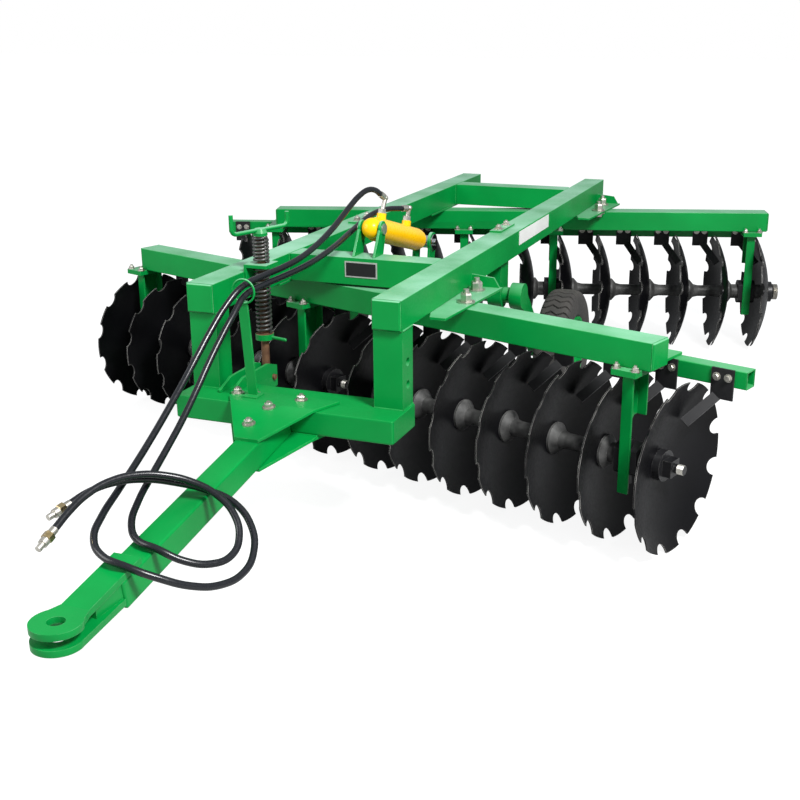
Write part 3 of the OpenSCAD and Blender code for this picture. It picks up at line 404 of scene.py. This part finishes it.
# %% [markdown]
# ## Rounded tube and plate edges
# Square tube has rolled corners, and cut plate is never razor sharp. The corners could be rounded in the
# solid model, but they are only there to catch light. A bevel modifier does that and leaves the solid as
# it is. The weld before it joins the corners that the file keeps apart, one for each face.

# %% Round the edges
TUBES = ["left_beam", "right_beam", "front_cross_beam", "rear_cross_beam", "front_gang_beam",
         "rear_gang_beam", "front_scraper_bar", "rear_scraper_bar", "draft_beam", "drawbar"]
PLATES = ["front_posts", "draft_plates", "hitch_plates", "front_gang_brackets", "rear_gang_brackets",
          "front_hangers", "rear_hangers", "screw_bracket", "screw_arms", "wheel_arms", "cylinder_ears"]
TUBE_CORNER = 0.009
PLATE_CORNER = 0.0025
JOIN_WITHIN = 0.00005
SHARPER_THAN = math.radians(50)
for name in TUBES + PLATES:
    weld = nodes[name].modifiers.new("weld", "WELD")
    weld.merge_threshold = JOIN_WITHIN
    soft = nodes[name].modifiers.new("round", "BEVEL")
    soft.width = TUBE_CORNER if name in TUBES else PLATE_CORNER
    soft.segments = 3
    soft.limit_method = "ANGLE"
    soft.angle_limit = SHARPER_THAN
    soft.harden_normals = True
print("rounded", len(TUBES), "tubes and", len(PLATES), "plate nodes")

# %% [markdown]
# ## Hydraulic hoses
# Two hoses leave the cylinder, pass through the ring of the hose stand, hang along the drawbar, make a
# loop beside it and end in couplers. They could be simulated as ropes, but a stiff hose keeps the bends
# that it was left in. So each is a smooth curve through listed points, with a round section.

# %% Hose routes
HOSE = 0.025
NEAR = [
    (8, 890, 1186), (0, 857, 1206), (-16, 812, 1213), (-34, 758, 1194), (-46, 700, 1164), (-53, 620, 1126),
    (-56, 520, 1088), (-62, 380, 1046), (-73, 250, 1017), (-94, 140, 1000), (-121, 20, 988),
    (-146, -104, 968), (-172, -190, 908), (-190, -270, 836), (-203, -350, 762), (-210, -440, 690),
    (-210, -560, 615), (-206, -680, 550), (-198, -800, 496), (-184, -930, 450), (-162, -1050, 418),
    (-122, -1155, 392), (-45, -1222, 373), (50, -1234, 358), (138, -1200, 320), (208, -1130, 272),
    (260, -1040, 242), (286, -940, 242), (276, -850, 272), (232, -778, 326), (150, -740, 384),
    (45, -746, 420), (-50, -790, 450), (-125, -862, 478), (-184, -950, 490), (-222, -1035, 484),
    (-240, -1105, 470),
]
FAR = [
    (0, 1170, 1078), (-40, 1090, 1085), (-66, 1000, 1080), (-74, 900, 1064), (-74, 800, 1046),
    (-70, 700, 1030), (-64, 600, 1015), (-60, 480, 1000), (-64, 360, 985), (-78, 240, 972), (-98, 120, 962),
    (-118, 10, 953), (-134, -104, 936), (-136, -190, 884), (-146, -270, 816), (-154, -350, 744),
    (-158, -440, 664), (-155, -560, 580), (-148, -680, 515), (-137, -800, 460), (-118, -910, 418),
    (-80, -1010, 386), (-15, -1075, 366), (66, -1092, 358), (146, -1066, 318), (208, -1005, 290),
    (238, -925, 290), (228, -855, 324), (184, -806, 376), (112, -784, 424), (24, -792, 462),
    (-56, -836, 492), (-120, -902, 510), (-168, -985, 512), (-196, -1072, 496), (-206, -1155, 470),
    (-208, -1230, 440),
]
print("points", len(NEAR), "and", len(FAR))


# %% Hoses
def wire(name, radius, detail):
    curve = bpy.data.curves.new(name, "CURVE")
    curve.dimensions = "3D"
    curve.bevel_depth = radius
    curve.bevel_resolution = detail
    curve.use_fill_caps = True
    return curve


# Called when the curve has all its points, because riding a body reads the finished shape
def wire_piece(curve, slot):
    curve.materials.append(M[slot])
    obj = bpy.data.objects.new(curve.name, curve)
    bpy.context.collection.objects.link(obj)
    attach(obj, "frame")
    return obj


def hose(name, node, route):
    places = [at(*p) for p in route]
    curve = wire(name, HOSE / 2, 5)
    curve.resolution_u = 6
    spline = curve.splines.new("BEZIER")
    spline.bezier_points.add(len(places) - 1)
    for knot, p in zip(spline.bezier_points, places):
        knot.co = p
        knot.handle_left_type = "AUTO"
        knot.handle_right_type = "AUTO"
    obj = wire_piece(curve, "hose_rubber")
    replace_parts(obj, node)
    length = sum((b - a).length for a, b in zip(places, places[1:]))
    return length


print("hose near", round(hose("near_hose", "hose_near", NEAR), 3), "m")
print("hose far", round(hose("far_hose", "hose_far", FAR), 3), "m")

# %% [markdown]
# ## Tyres with tread
# A tyre is one outline turned about the axle. Tread blocks could be stuck on, but they would stand proud
# of the tyre's real size. Here the points that fall in a groove are lowered instead. The grooves zig-zag
# across the tyre from shoulder to shoulder, and no piece is loose.

# %% Tread
GROOVES = 44
GROOVE_DEPTH = 9
GROOVE_SHARE = 0.17
ZIGZAG_LENGTH = 66
ZIGZAG_HEIGHT = 0.45


def tread_depth(x, angle):
    wave = abs((x / ZIGZAG_LENGTH + 0.25) % 1 * 2 - 1)
    block = (angle * GROOVES / (2 * math.pi) + ZIGZAG_HEIGHT * wave) % 1
    return GROOVE_DEPTH if block < GROOVE_SHARE else 0


print("groove every", round(360 / GROOVES, 1), "degrees")

# %% [markdown]
# ## The tyre's outline
# Half the outline is a few points across the tyre and out from the axle, and the other half mirrors it.
# The crown needs close points, because the zig-zag is cut there. The side walls are smooth and need few.

# %% Tyres
TYRE_HALF = [(0, 305), (20, 304.6), (40, 303), (58, 299), (68, 292), (75, 280), (80, 262), (82, 240),
             (81, 218), (77, 198), (70, 182), (62, 172)]
CROWN_FROM = 285
TREAD_FROM = 284
CROWN_STEP = 3
TURNS = 12 * GROOVES


def tyre_outline():
    fine = []
    for (x0, r0), (x1, r1) in zip(TYRE_HALF, TYRE_HALF[1:]):
        steps = max(1, round((x1 - x0) / CROWN_STEP)) if r0 > CROWN_FROM else 2
        fine += [(x0 + (x1 - x0) * i / steps, r0 + (r1 - r0) * i / steps) for i in range(steps)]
    fine.append(TYRE_HALF[-1])
    return [(-x, r) for x, r in reversed(fine[1:])] + fine


def tyre(name, node, rim, body):
    low, high = machine_box(rim)
    middle = (low + high) / 2
    outline = tyre_outline()
    bm = bmesh.new()
    rings = []
    for i in range(TURNS):
        angle = 2 * math.pi * i / TURNS
        ring = []
        for x, r in outline:
            if r > TREAD_FROM:
                r -= tread_depth(x, angle)
            y = middle.y + r * math.cos(angle)
            z = middle.z + r * math.sin(angle)
            ring.append(bm.verts.new(at(middle.x + x, y, z)))
        rings.append(ring)
    for i in range(TURNS):
        here = rings[i]
        there = rings[(i + 1) % TURNS]
        for j in range(len(outline) - 1):
            bm.faces.new((here[j], here[j + 1], there[j + 1], there[j]))
    bmesh.ops.recalc_face_normals(bm, faces=bm.faces)
    count = len(bm.faces)
    mesh = bpy.data.meshes.new(name)
    bm.to_mesh(mesh)
    bm.free()
    mesh.materials.append(M["tyre"])
    obj = bpy.data.objects.new(name, mesh)
    bpy.context.collection.objects.link(obj)
    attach(obj, body)
    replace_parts(obj, node)
    return count


print("tyre faces", tyre("tread_left", "left_tyre", "left_rim", "left_wheel"))
print("tyre faces", tyre("tread_right", "right_tyre", "right_rim", "right_wheel"))

# %% [markdown]
# ## How a bolt is made
# A bolt is a washer, a hexagon head with a chamfer and sometimes a stud end above it. Each could be an
# object of its own, but there are nearly a hundred. Bolts of one kind go into one mesh, because they ride
# the same body and share a finish. Each is turned by a random amount, as a spanner leaves it.

# %% Bolt maker
UP = Vector((0, 0, 1))
SINK = 0.5
WASHER_TO_HEX = 0.85
CHAMFER_FROM = 0.8
CHAMFER_TO = 0.86
random.seed(7)


def turned_to(axis):
    return UP.rotation_difference(axis).to_matrix().to_4x4()


def prism(bm, frame_at, r0, r1, z0, z1, sides):
    middle = Matrix.Translation((0, 0, (z0 + z1) / 2000))
    bmesh.ops.create_cone(bm, cap_ends=True, segments=sides, radius1=r0 / 1000, radius2=r1 / 1000,
                          depth=(z1 - z0) / 1000, matrix=frame_at @ middle)


def bolt(bm, point, axis, across=24, head=12, washer=3, stud=0):
    spin = Matrix.Rotation(random.uniform(0, 1), 4, "Z")
    here = Matrix.Translation(point) @ turned_to(axis) @ spin
    r = across / 2 / math.cos(math.pi / 6)
    rim = across * WASHER_TO_HEX
    shoulder = washer + head * CHAMFER_FROM
    top = washer + head
    if washer:
        prism(bm, here, rim, rim, -SINK, washer, 24)
    prism(bm, here, r, r, washer - SINK, shoulder, 6)
    prism(bm, here, r, r * CHAMFER_TO, shoulder, top, 6)
    if stud:
        prism(bm, here, across * 0.3, across * 0.27, top - SINK, top + stud, 16)


def piece(name, bm, slot, body="frame", look=None):
    mesh = bpy.data.meshes.new(name)
    bm.to_mesh(mesh)
    count = len(bm.faces)
    bm.free()
    mesh.materials.append(M[look or slot])
    obj = bpy.data.objects.new(name, mesh)
    bpy.context.collection.objects.link(obj)
    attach(obj, body)
    print(name, count, "faces")
    return obj


print("a 24 mm head is", round(24 / math.cos(math.pi / 6), 1), "mm over its corners")

# %% [markdown]
# ## Bolts on the brackets
# Four flat brackets clamp the gang beams under the side beams. Each has two large bolts, seen from above
# with the stud through the nut and from below with the head. Their places follow from where the gang line
# crosses the side beam, so they move with the gang's angle.

# %% Bracket bolts
CROSSINGS = []
for y, turn, _ in GANGS.values():
    for side in (1, -1):
        CROSSINGS.append((side, round(y + side * BEAM_X * math.tan(turn), 1)))
BRACKET_BOLTS = ((135, -50), (107, 170))
BRACKET_THICK = 10
BRACKET_TOP = beam_low.z
bracket_bolts = bmesh.new()
for side, y in CROSSINGS:
    for dx, dy in BRACKET_BOLTS:
        x = side * (BEAM_X + dx)
        bolt(bracket_bolts, at(x, y + dy, BRACKET_TOP), UP, 44, 34, 6, 16)
        bolt(bracket_bolts, at(x, y + dy, BRACKET_TOP - BRACKET_THICK), -UP, 44, 20, 5)
piece("bracket_bolts", bracket_bolts, "zinc")

# %% [markdown]
# ## Ribs on the brackets
# A low upright rib stiffens the back edge of each bracket plate. It starts at the side beam and its outer
# corner is cut off at a slant. Four corners and a thickness are all it needs, so its faces are made
# directly.

# %% Bracket ribs
RIB = [(460, 819.5), (586, 819.5), (560, 862), (460, 872)]
RIB_BACK = 244
RIB_THICK = 10
ribs = bmesh.new()
for side, y in CROSSINGS:
    front_face = [ribs.verts.new(at(side * x, y + RIB_BACK, z)) for x, z in RIB]
    back_face = [ribs.verts.new(at(side * x, y + RIB_BACK + RIB_THICK, z)) for x, z in RIB]
    ribs.faces.new(front_face)
    ribs.faces.new(list(reversed(back_face)))
    for k in range(len(RIB)):
        n = (k + 1) % len(RIB)
        ribs.faces.new((front_face[n], front_face[k], back_face[k], back_face[n]))
bmesh.ops.recalc_face_normals(ribs, faces=ribs.faces)
piece("bracket_ribs", ribs, "green_paint")

# %% [markdown]
# ## Bolts on the hangers and scrapers
# Every hanger shows two small bolts beside its gang beam, and each scraper plate is held to its bar by
# two. They could be placed one by one. There is one scraper to a disc, so a loop along the gang at the
# disc spacing places them all.

# %% Hanger and scraper bolts
FIRST_DISC = {"front": 89.5, "rear": 160.5}
LEFT_GANG = -1685
DISC_PITCH = 230
DISCS_ON_GANG = 7
HANGER_DISCS = {"front": (0, 5), "rear": (6, 1)}
HANGER_STEPS = (74, 152)
HANGER_BEHIND = -82
SCRAPER_STEPS = (118, 164)
SCRAPER_BEHIND = 185
SCRAPER_Z = 655
gang_beam_low = machine_box("front_gang_beam")[0]
hanger_bolts = bmesh.new()
for gang, (_, _, hand) in GANGS.items():
    for first in (FIRST_DISC[gang], FIRST_DISC[gang] + LEFT_GANG):
        for i in HANGER_DISCS[gang]:
            s = first + DISC_PITCH * i
            for step in HANGER_STEPS:
                spot = on_gang(gang, s + hand * step, HANGER_BEHIND, gang_beam_low.z)
                bolt(hanger_bolts, spot, UP, 22, 12, 3, 8)
        for i in range(DISCS_ON_GANG):
            s = first + DISC_PITCH * i
            for step in SCRAPER_STEPS:
                spot = on_gang(gang, s + hand * step, SCRAPER_BEHIND, SCRAPER_Z)
                bolt(hanger_bolts, spot, -gang_axis(gang, 0, 1), 19, 9, 2.5)
piece("hanger_bolts", hanger_bolts, "zinc")

# %% [markdown]
# ## Bolts on the draft plates
# The drawbar is gripped between two plates on the draft beam. Three bolts stand upright through the flat
# part, and two lean with the drawbar, so those two take their direction from its slope.

# %% Draft plate bolts
BAR_SLOPE = math.radians(9.5)
OFF_BAR = Vector((0, -math.sin(BAR_SLOPE), math.cos(BAR_SLOPE)))
UPRIGHT = ((53, -30), (-160, -22), (-225, -36))
LEANING = ((-43, -280, 491), (-30, -142, 514))
plate_top = machine_box("draft_plates")[1].z
draft_bolts = bmesh.new()
for x, y in UPRIGHT:
    bolt(draft_bolts, at(x, y, plate_top), UP, 30, 16, 4, 6)
for x, y, z in LEANING:
    bolt(draft_bolts, at(x, y, z), OFF_BAR, 30, 16, 4, 6)
piece("draft_bolts", draft_bolts, "zinc")

# %% [markdown]
# ## Nuts on the couplers
# A brass hexagon joins each coupler to its hose. It sits at the end of the hose and points along the
# hose's last stretch, so both its place and its direction come from the route.

# %% Coupler nuts
NUT_RADIUS = 20
NUT_FROM = 24
NUT_TO = 46
NUT_CHAMFER = 3
coupler_nuts = bmesh.new()
for route in (NEAR, FAR):
    end = at(*route[-1])
    heading = (end - at(*route[-2])).normalized()
    here = Matrix.Translation(end) @ turned_to(heading)
    prism(coupler_nuts, here, NUT_RADIUS, NUT_RADIUS, NUT_FROM, NUT_TO, 6)
    prism(coupler_nuts, here, NUT_RADIUS, NUT_RADIUS - NUT_CHAMFER, NUT_TO, NUT_TO + NUT_CHAMFER, 6)
piece("coupler_nuts", coupler_nuts, "zinc", look="brass")

# %% [markdown]
# ## Clamps on the side beams
# On top of each side beam, over the lift shaft, a flat clamp plate is held by two bolts. A cube stretched
# between two corners is enough for a plate this plain, and the nameplate is made the same way later.

# %% Top clamps
CLAMP_X = 372
CLAMP_HALF = 28
CLAMP_ENDS = (1438, 1665)
CLAMP_THICK = 9
CLAMP_BOLTS = (1490, 1613)


def block(bm, low, high):
    a = at(*low)
    b = at(*high)
    size = Matrix.Diagonal((*(b - a), 1))
    bmesh.ops.create_cube(bm, size=1, matrix=Matrix.Translation((a + b) / 2) @ size)


clamps = bmesh.new()
clamp_bolts = bmesh.new()
clamp_top = beam_high.z + CLAMP_THICK
for side in (-1, 1):
    x = side * CLAMP_X
    foot = (x - CLAMP_HALF, CLAMP_ENDS[0], beam_high.z - SINK)
    block(clamps, foot, (x + CLAMP_HALF, CLAMP_ENDS[1], clamp_top))
    for y in CLAMP_BOLTS:
        bolt(clamp_bolts, at(x, y, clamp_top), UP, 26, 14, 3, 6)
piece("top_clamps", clamps, "green_paint")
piece("clamp_bolts", clamp_bolts, "zinc")

# %% [markdown]
# ## Levelling springs
# Two springs on the screw hold the drawbar level, one on each side of the bracket plate. A spring is a
# round wire wound on a helix. The Screw modifier could wind it. A curve through the helix's points is
# used, because it takes the number of turns and the two ends directly.

# %% Springs
SPRING_FOOT = 669
SPRING_HEAD = 1084
BRACKET_UNDER = 955
LOWER_TURNS = 15
UPPER_TURNS = 7
POINTS_A_TURN = 28
WIRE = 5.5
spring_low, spring_high = machine_box("levelling_springs")
SCREW_X = (spring_low.x + spring_high.x) / 2
SCREW_Y = (spring_low.y + spring_high.y) / 2
SPRING = (spring_high.x - spring_low.x) / 2 - WIRE
bracket_top = machine_box("screw_bracket")[1].z


def straight_run(curve, places):
    spline = curve.splines.new("POLY")
    spline.points.add(len(places) - 1)
    for knot, p in zip(spline.points, places):
        knot.co = (*p, 1)


def coil(name, low, high, turns):
    curve = wire(name, WIRE / 1000, 3)
    count = turns * POINTS_A_TURN
    places = []
    for i in range(count + 1):
        angle = 2 * math.pi * turns * i / count
        z = low + WIRE + (high - low - 2 * WIRE) * i / count
        places.append(at(SCREW_X + SPRING * math.cos(angle), SCREW_Y + SPRING * math.sin(angle), z))
    straight_run(curve, places)
    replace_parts(wire_piece(curve, "spring_steel"), "levelling_springs")
    return len(places)


print("lower spring", coil("lower_spring", SPRING_FOOT, BRACKET_UNDER, LOWER_TURNS), "points")
print("upper spring", coil("upper_spring", bracket_top, SPRING_HEAD, UPPER_TURNS), "points")
print("spring radius", round(SPRING, 1), "mm")

# %% [markdown]
# ## Collar and bar
# The collar under the lower spring is painted and has a short bar for turning it. The solid screw already
# has a plain collar, so its radius is measured from the screw's own points and the painted one just
# covers it.

# %% Collar and bar
COLLAR_FROM = 644
COLLAR_TO = 668.8
COLLAR_SKIN = 0.8
BAR_Z = 657
BAR_RADIUS = 7
BAR_LENGTH = 104
BAR_CHAMFER = 3
BAR_END = 5
collar_points = [v.co for v in nodes["levelling_screw"].data.vertices if 0.645 < v.co.z < 0.67]
collar = max((p - at(SCREW_X, SCREW_Y, p.z * 1000)).length for p in collar_points) * 1000 + COLLAR_SKIN
sleeve = bmesh.new()
prism(sleeve, Matrix.Translation(at(SCREW_X, SCREW_Y, 0)), collar, collar, COLLAR_FROM, COLLAR_TO, 48)
bar = Matrix.Translation(at(SCREW_X, SCREW_Y, BAR_Z)) @ turned_to(Vector((1, -0.1, -0.06)))
prism(sleeve, bar, BAR_RADIUS, BAR_RADIUS, 0, BAR_LENGTH, 20)
prism(sleeve, bar, BAR_RADIUS, BAR_END, BAR_LENGTH, BAR_LENGTH + BAR_CHAMFER, 20)
piece("screw_collar", sleeve, "green_paint")

# %% [markdown]
# ## Hand crank
# The screw is turned by one round bar, bent up at both ends, that passes through a low cap on the screw.
# A bevel on square corners would look cast. The bar is drawn as straight runs and quarter circles with a
# round section, so its bends are smooth, as in a bar that was bent cold.

# %% Crank bar
CRANK_RADIUS = 9
CRANK_BEND = 24
CRANK_REACH = 152
GRIP_NEAR = 80
GRIP_FAR = 58
CRANK_TURN = math.radians(70)
BEND_STEPS = 8
CRANK_Z = machine_box("levelling_screw")[1].z


def on_crank(along, up):
    x = SCREW_X + along * math.cos(CRANK_TURN)
    y = SCREW_Y + along * math.sin(CRANK_TURN)
    return at(x, y, CRANK_Z + up)


corner = [math.radians(90 * k / BEND_STEPS) for k in range(BEND_STEPS + 1)]
path = [(-CRANK_REACH, GRIP_NEAR)]
path += [(-CRANK_REACH + CRANK_BEND * (1 - math.cos(k)), CRANK_BEND * (1 - math.sin(k))) for k in corner]
path += [(CRANK_REACH - CRANK_BEND * (1 - math.sin(k)), CRANK_BEND * (1 - math.cos(k))) for k in corner]
path += [(CRANK_REACH, GRIP_FAR)]
crank_bar = wire("crank_bar", CRANK_RADIUS / 1000, 5)
straight_run(crank_bar, [on_crank(along, up) for along, up in path])
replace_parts(wire_piece(crank_bar, "green_paint"), "levelling_crank")
print("crank bar", len(path), "points, height", round(CRANK_Z), "mm")

# %% Crank cap
CAP_RADIUS = 30
CAP_CROWN = 22
CAP_FOOT = -22
CAP_SHOULDER = -10
CAP_TOP = 7
cap = bmesh.new()
cap_at = Matrix.Translation(at(SCREW_X, SCREW_Y, CRANK_Z))
prism(cap, cap_at, CAP_RADIUS, CAP_RADIUS, CAP_FOOT, CAP_SHOULDER, 40)
prism(cap, cap_at, CAP_RADIUS, CAP_CROWN, CAP_SHOULDER, CAP_TOP, 40)
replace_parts(piece("crank_cap", cap, "green_paint"), "levelling_crank")

# %% [markdown]
# ## Threads on the gang bolts
# Each gang is held together by one long bolt, and the ends that stand out of its nuts are threaded. A
# true helix would look the same at this size, so the thread is a row of close rings. The ends are found
# from the solid bolt's own points.

# %% Gang bolt threads
AXLE_Z = 330
THREAD_LENGTH = 0.026
THREAD_PITCH = 3.2
THREADS = 8
ROOT = 0.2
CREST = 1.4
END_FACE = 0.001
for gang in GANGS:
    way = gang_axis(gang, 1, 0)
    start = on_gang(gang, 0, 0, AXLE_Z)
    for hand in ("right", "left"):
        along = [((v.co - start).dot(way), v.co) for v in nodes[f"{gang}_{hand}_bolt"].data.vertices]
        ends = bmesh.new()
        for sign in (-1, 1):
            tip = max(sign * a for a, _ in along)
            r = max((c - start - way * a).length for a, c in along if sign * a > tip - END_FACE) * 1000
            here = Matrix.Translation(start + way * sign * (tip - THREAD_LENGTH)) @ turned_to(way * sign)
            for k in range(THREADS):
                z = k * THREAD_PITCH
                prism(ends, here, r + ROOT, r + CREST, z, z + THREAD_PITCH / 2, 24)
                prism(ends, here, r + CREST, r + ROOT, z + THREAD_PITCH / 2, z + THREAD_PITCH, 24)
        piece(f"{gang}_{hand}_thread", ends, "zinc", f"{gang}_{hand}_gang")

# %% [markdown]
# ## How a weld bead is made
# Where tube meets tube there is a bead. A bump could suggest it, but a bead stands out against the light.
# It is a thin tube swept along the joint whose radius swells and shrinks every few millimetres, the way a
# hand-laid bead does.

# %% Bead maker
BEAD = 5.0
POST_BEAD = 4.0
BEAD_STEP = 0.004
BEAD_SIDES = 6


def bead(bm, start, end, r):
    run = end - start
    steps = max(2, round(run.length / BEAD_STEP))
    aim = turned_to(run).to_3x3()
    last = None
    for i in range(steps + 1):
        swell = r * (0.86 + 0.2 * abs(math.sin(i * 0.8)) + random.uniform(-0.04, 0.04)) / 1000
        centre = start + run * (i / steps)
        ring = []
        for k in range(BEAD_SIDES):
            angle = 2 * math.pi * k / BEAD_SIDES
            spoke = aim @ Vector((math.cos(angle), math.sin(angle), 0))
            ring.append(bm.verts.new(centre + spoke * swell))
        if last:
            for k in range(BEAD_SIDES):
                n = (k + 1) % BEAD_SIDES
                bm.faces.new((last[k], last[n], ring[n], ring[k]))
        else:
            bm.faces.new(list(reversed(ring)))
        last = ring
    bm.faces.new(last)


print("bead radius", BEAD, "and", POST_BEAD, "mm")

# %% [markdown]
# ## Weld beads
# The cross beams are welded between the side beams, and the posts are welded above to the side beams and
# below to the draft beam. The beads follow the edges of those nodes' boxes, and stop a little short of
# the rounded corners.

# %% Weld beads
EDGE = 2
CORNER = 4
welds = bmesh.new()
post_low, post_high = machine_box("front_posts")
for side in (-1, 1):
    for node in ("front_cross_beam", "rear_cross_beam"):
        cross_low, cross_high = machine_box(node)
        x = side * cross_high.x
        foot = cross_low.z + EDGE
        head = cross_high.z - CORNER
        bead(welds, at(x, cross_low.y, foot), at(x, cross_low.y, head), BEAD)
        bead(welds, at(x, cross_low.y, foot), at(x, cross_high.y, foot), BEAD)
    inner = side * (beam_low.x + 1)
    outer = side * (beam_high.x - 1)
    face = side * beam_high.x
    for z in (post_high.z, post_low.z):
        bead(welds, at(inner, post_low.y, z), at(outer, post_low.y, z), POST_BEAD)
        bead(welds, at(face, post_low.y + EDGE, z), at(face, post_high.y - EDGE, z), POST_BEAD)
piece("weld_beads", welds, "green_paint")

# %% [markdown]
# ## Nameplate and pale strip
# A dark plate with a light border sits on the front cross beam, and a pale strip on the right side beam.
# Both are thin and plain. They could be painted on in the material, but a thin block is easier to place
# and catches light at its edges.

# %% Blank plates
def slab(name, low, high, slot, look=None):
    bm = bmesh.new()
    block(bm, low, high)
    return piece(name, bm, slot, look=look)


finish("plate_light", (0.50, 0.50, 0.48), (0.62, 0.62, 0.60), (0.3, 0.45), metal=0.6)
finish("strip_white", (0.68, 0.68, 0.66), (0.78, 0.78, 0.76), (0.3, 0.42))
PLATE_LEFT = -68
PLATE_RIGHT = 84
PLATE_FOOT = 854
PLATE_HEAD = 924
BORDER = 6
LET_IN = 0.2
cross_y = machine_box("front_cross_beam")[0].y
border_low = (PLATE_LEFT, cross_y - 2.5, PLATE_FOOT)
border_high = (PLATE_RIGHT, cross_y + LET_IN, PLATE_HEAD)
face_low = (PLATE_LEFT + BORDER, cross_y - 3.2, PLATE_FOOT + BORDER)
face_high = (PLATE_RIGHT - BORDER, cross_y - 2.2, PLATE_HEAD - BORDER)
slab("plate_border", border_low, border_high, "zinc", "plate_light")
slab("plate_face", face_low, face_high, "black_bolt")
STRIP_ENDS = (1545, 2085)
STRIP_EDGES = (866, 932)
STRIP_THICK = 1.4
strip_low = (beam_high.x - LET_IN, STRIP_ENDS[0], STRIP_EDGES[0])
strip_high = (beam_high.x + STRIP_THICK, STRIP_ENDS[1], STRIP_EDGES[1])
slab("strip_base", strip_low, strip_high, "zinc", "strip_white")

# %% [markdown]
# ## Floor
# The machine stands on a plain pale floor. A floor lit like the machine would be grey, and a floor that
# only glows would have no shadow. Half of each is mixed for the camera alone, so the shadow stays and the
# rest of the floor is white.

# %% Floor
FLOOR_HALF = 40
FLOOR_GREY = (0.45, 0.45, 0.45, 1)
FLOOR_GLOW = 1.77
GLOW_SHARE = 0.5
bm = bmesh.new()
bmesh.ops.create_grid(bm, x_segments=1, y_segments=1, size=FLOOR_HALF)
ground = bpy.data.meshes.new("floor")
bm.to_mesh(ground)
bm.free()
floor = bpy.data.objects.new("floor", ground)
bpy.context.collection.objects.link(floor)
paint = bpy.data.materials.new("floor")
paint.use_nodes = True
tree = paint.node_tree
shader = tree.nodes["Principled BSDF"]
shader.inputs["Base Color"].default_value = FLOOR_GREY
shader.inputs["Roughness"].default_value = 0.9
glow = add(tree, "ShaderNodeEmission")
glow.inputs["Strength"].default_value = FLOOR_GLOW
seen = add(tree, "ShaderNodeLightPath")
share = maths(tree, "MULTIPLY", seen.outputs["Is Camera Ray"], GLOW_SHARE)
both = add(tree, "ShaderNodeMixShader")
tree.links.new(share, both.inputs["Fac"])
tree.links.new(shader.outputs["BSDF"], both.inputs[1])
tree.links.new(glow.outputs["Emission"], both.inputs[2])
tree.links.new(both.outputs["Shader"], tree.nodes["Material Output"].inputs["Surface"])
ground.materials.append(paint)
print("floor", tuple(round(v, 1) for v in floor.dimensions))

# %% [markdown]
# ## Sky
# An even, slightly blue sky lights the machine from all round. Seen by the camera it would be grey, so
# the camera sees a white background instead, and only the light that falls on the machine is dimmed.

# %% Sky
SKY_COLOUR = (0.93, 0.96, 1.0, 1)
SKY_STRENGTH = 0.52
world = bpy.data.worlds.new("sky")
bpy.context.scene.world = world
world.use_nodes = True
tree = world.node_tree
sky = tree.nodes["Background"]
sky.inputs["Color"].default_value = SKY_COLOUR
sky.inputs["Strength"].default_value = SKY_STRENGTH
white = add(tree, "ShaderNodeBackground")
white.inputs["Color"].default_value = (1, 1, 1, 1)
white.inputs["Strength"].default_value = 1.0
path_of_light = add(tree, "ShaderNodeLightPath")
pick = add(tree, "ShaderNodeMixShader")
tree.links.new(path_of_light.outputs["Is Camera Ray"], pick.inputs["Fac"])
tree.links.new(sky.outputs["Background"], pick.inputs[1])
tree.links.new(white.outputs["Background"], pick.inputs[2])
tree.links.new(pick.outputs["Shader"], tree.nodes["World Output"].inputs["Surface"])
print("sky", SKY_STRENGTH)

# %% [markdown]
# ## Lamps
# A lamp stands high on the right and a weaker, larger one on the left. A sun lamp would give one hard
# shadow. Area lamps give softer ones, and they make the tops of the beams pale and their sides deep
# green.

# %% Lamps
LOOK_AT = Vector((0, 0, 0.5))


def lamp(name, spot, power, size):
    light = bpy.data.lights.new(name, "AREA")
    light.energy = power
    light.size = size
    obj = bpy.data.objects.new(name, light)
    obj.location = spot
    obj.rotation_euler = (LOOK_AT - Vector(spot)).to_track_quat("-Z", "Y").to_euler()
    bpy.context.collection.objects.link(obj)


lamp("key", (4.5, -3.5, 6.0), 900, 1.6)
lamp("fill", (-5.0, -4.0, 3.5), 220, 4.0)
bpy.context.scene.view_settings.view_transform = "Standard"
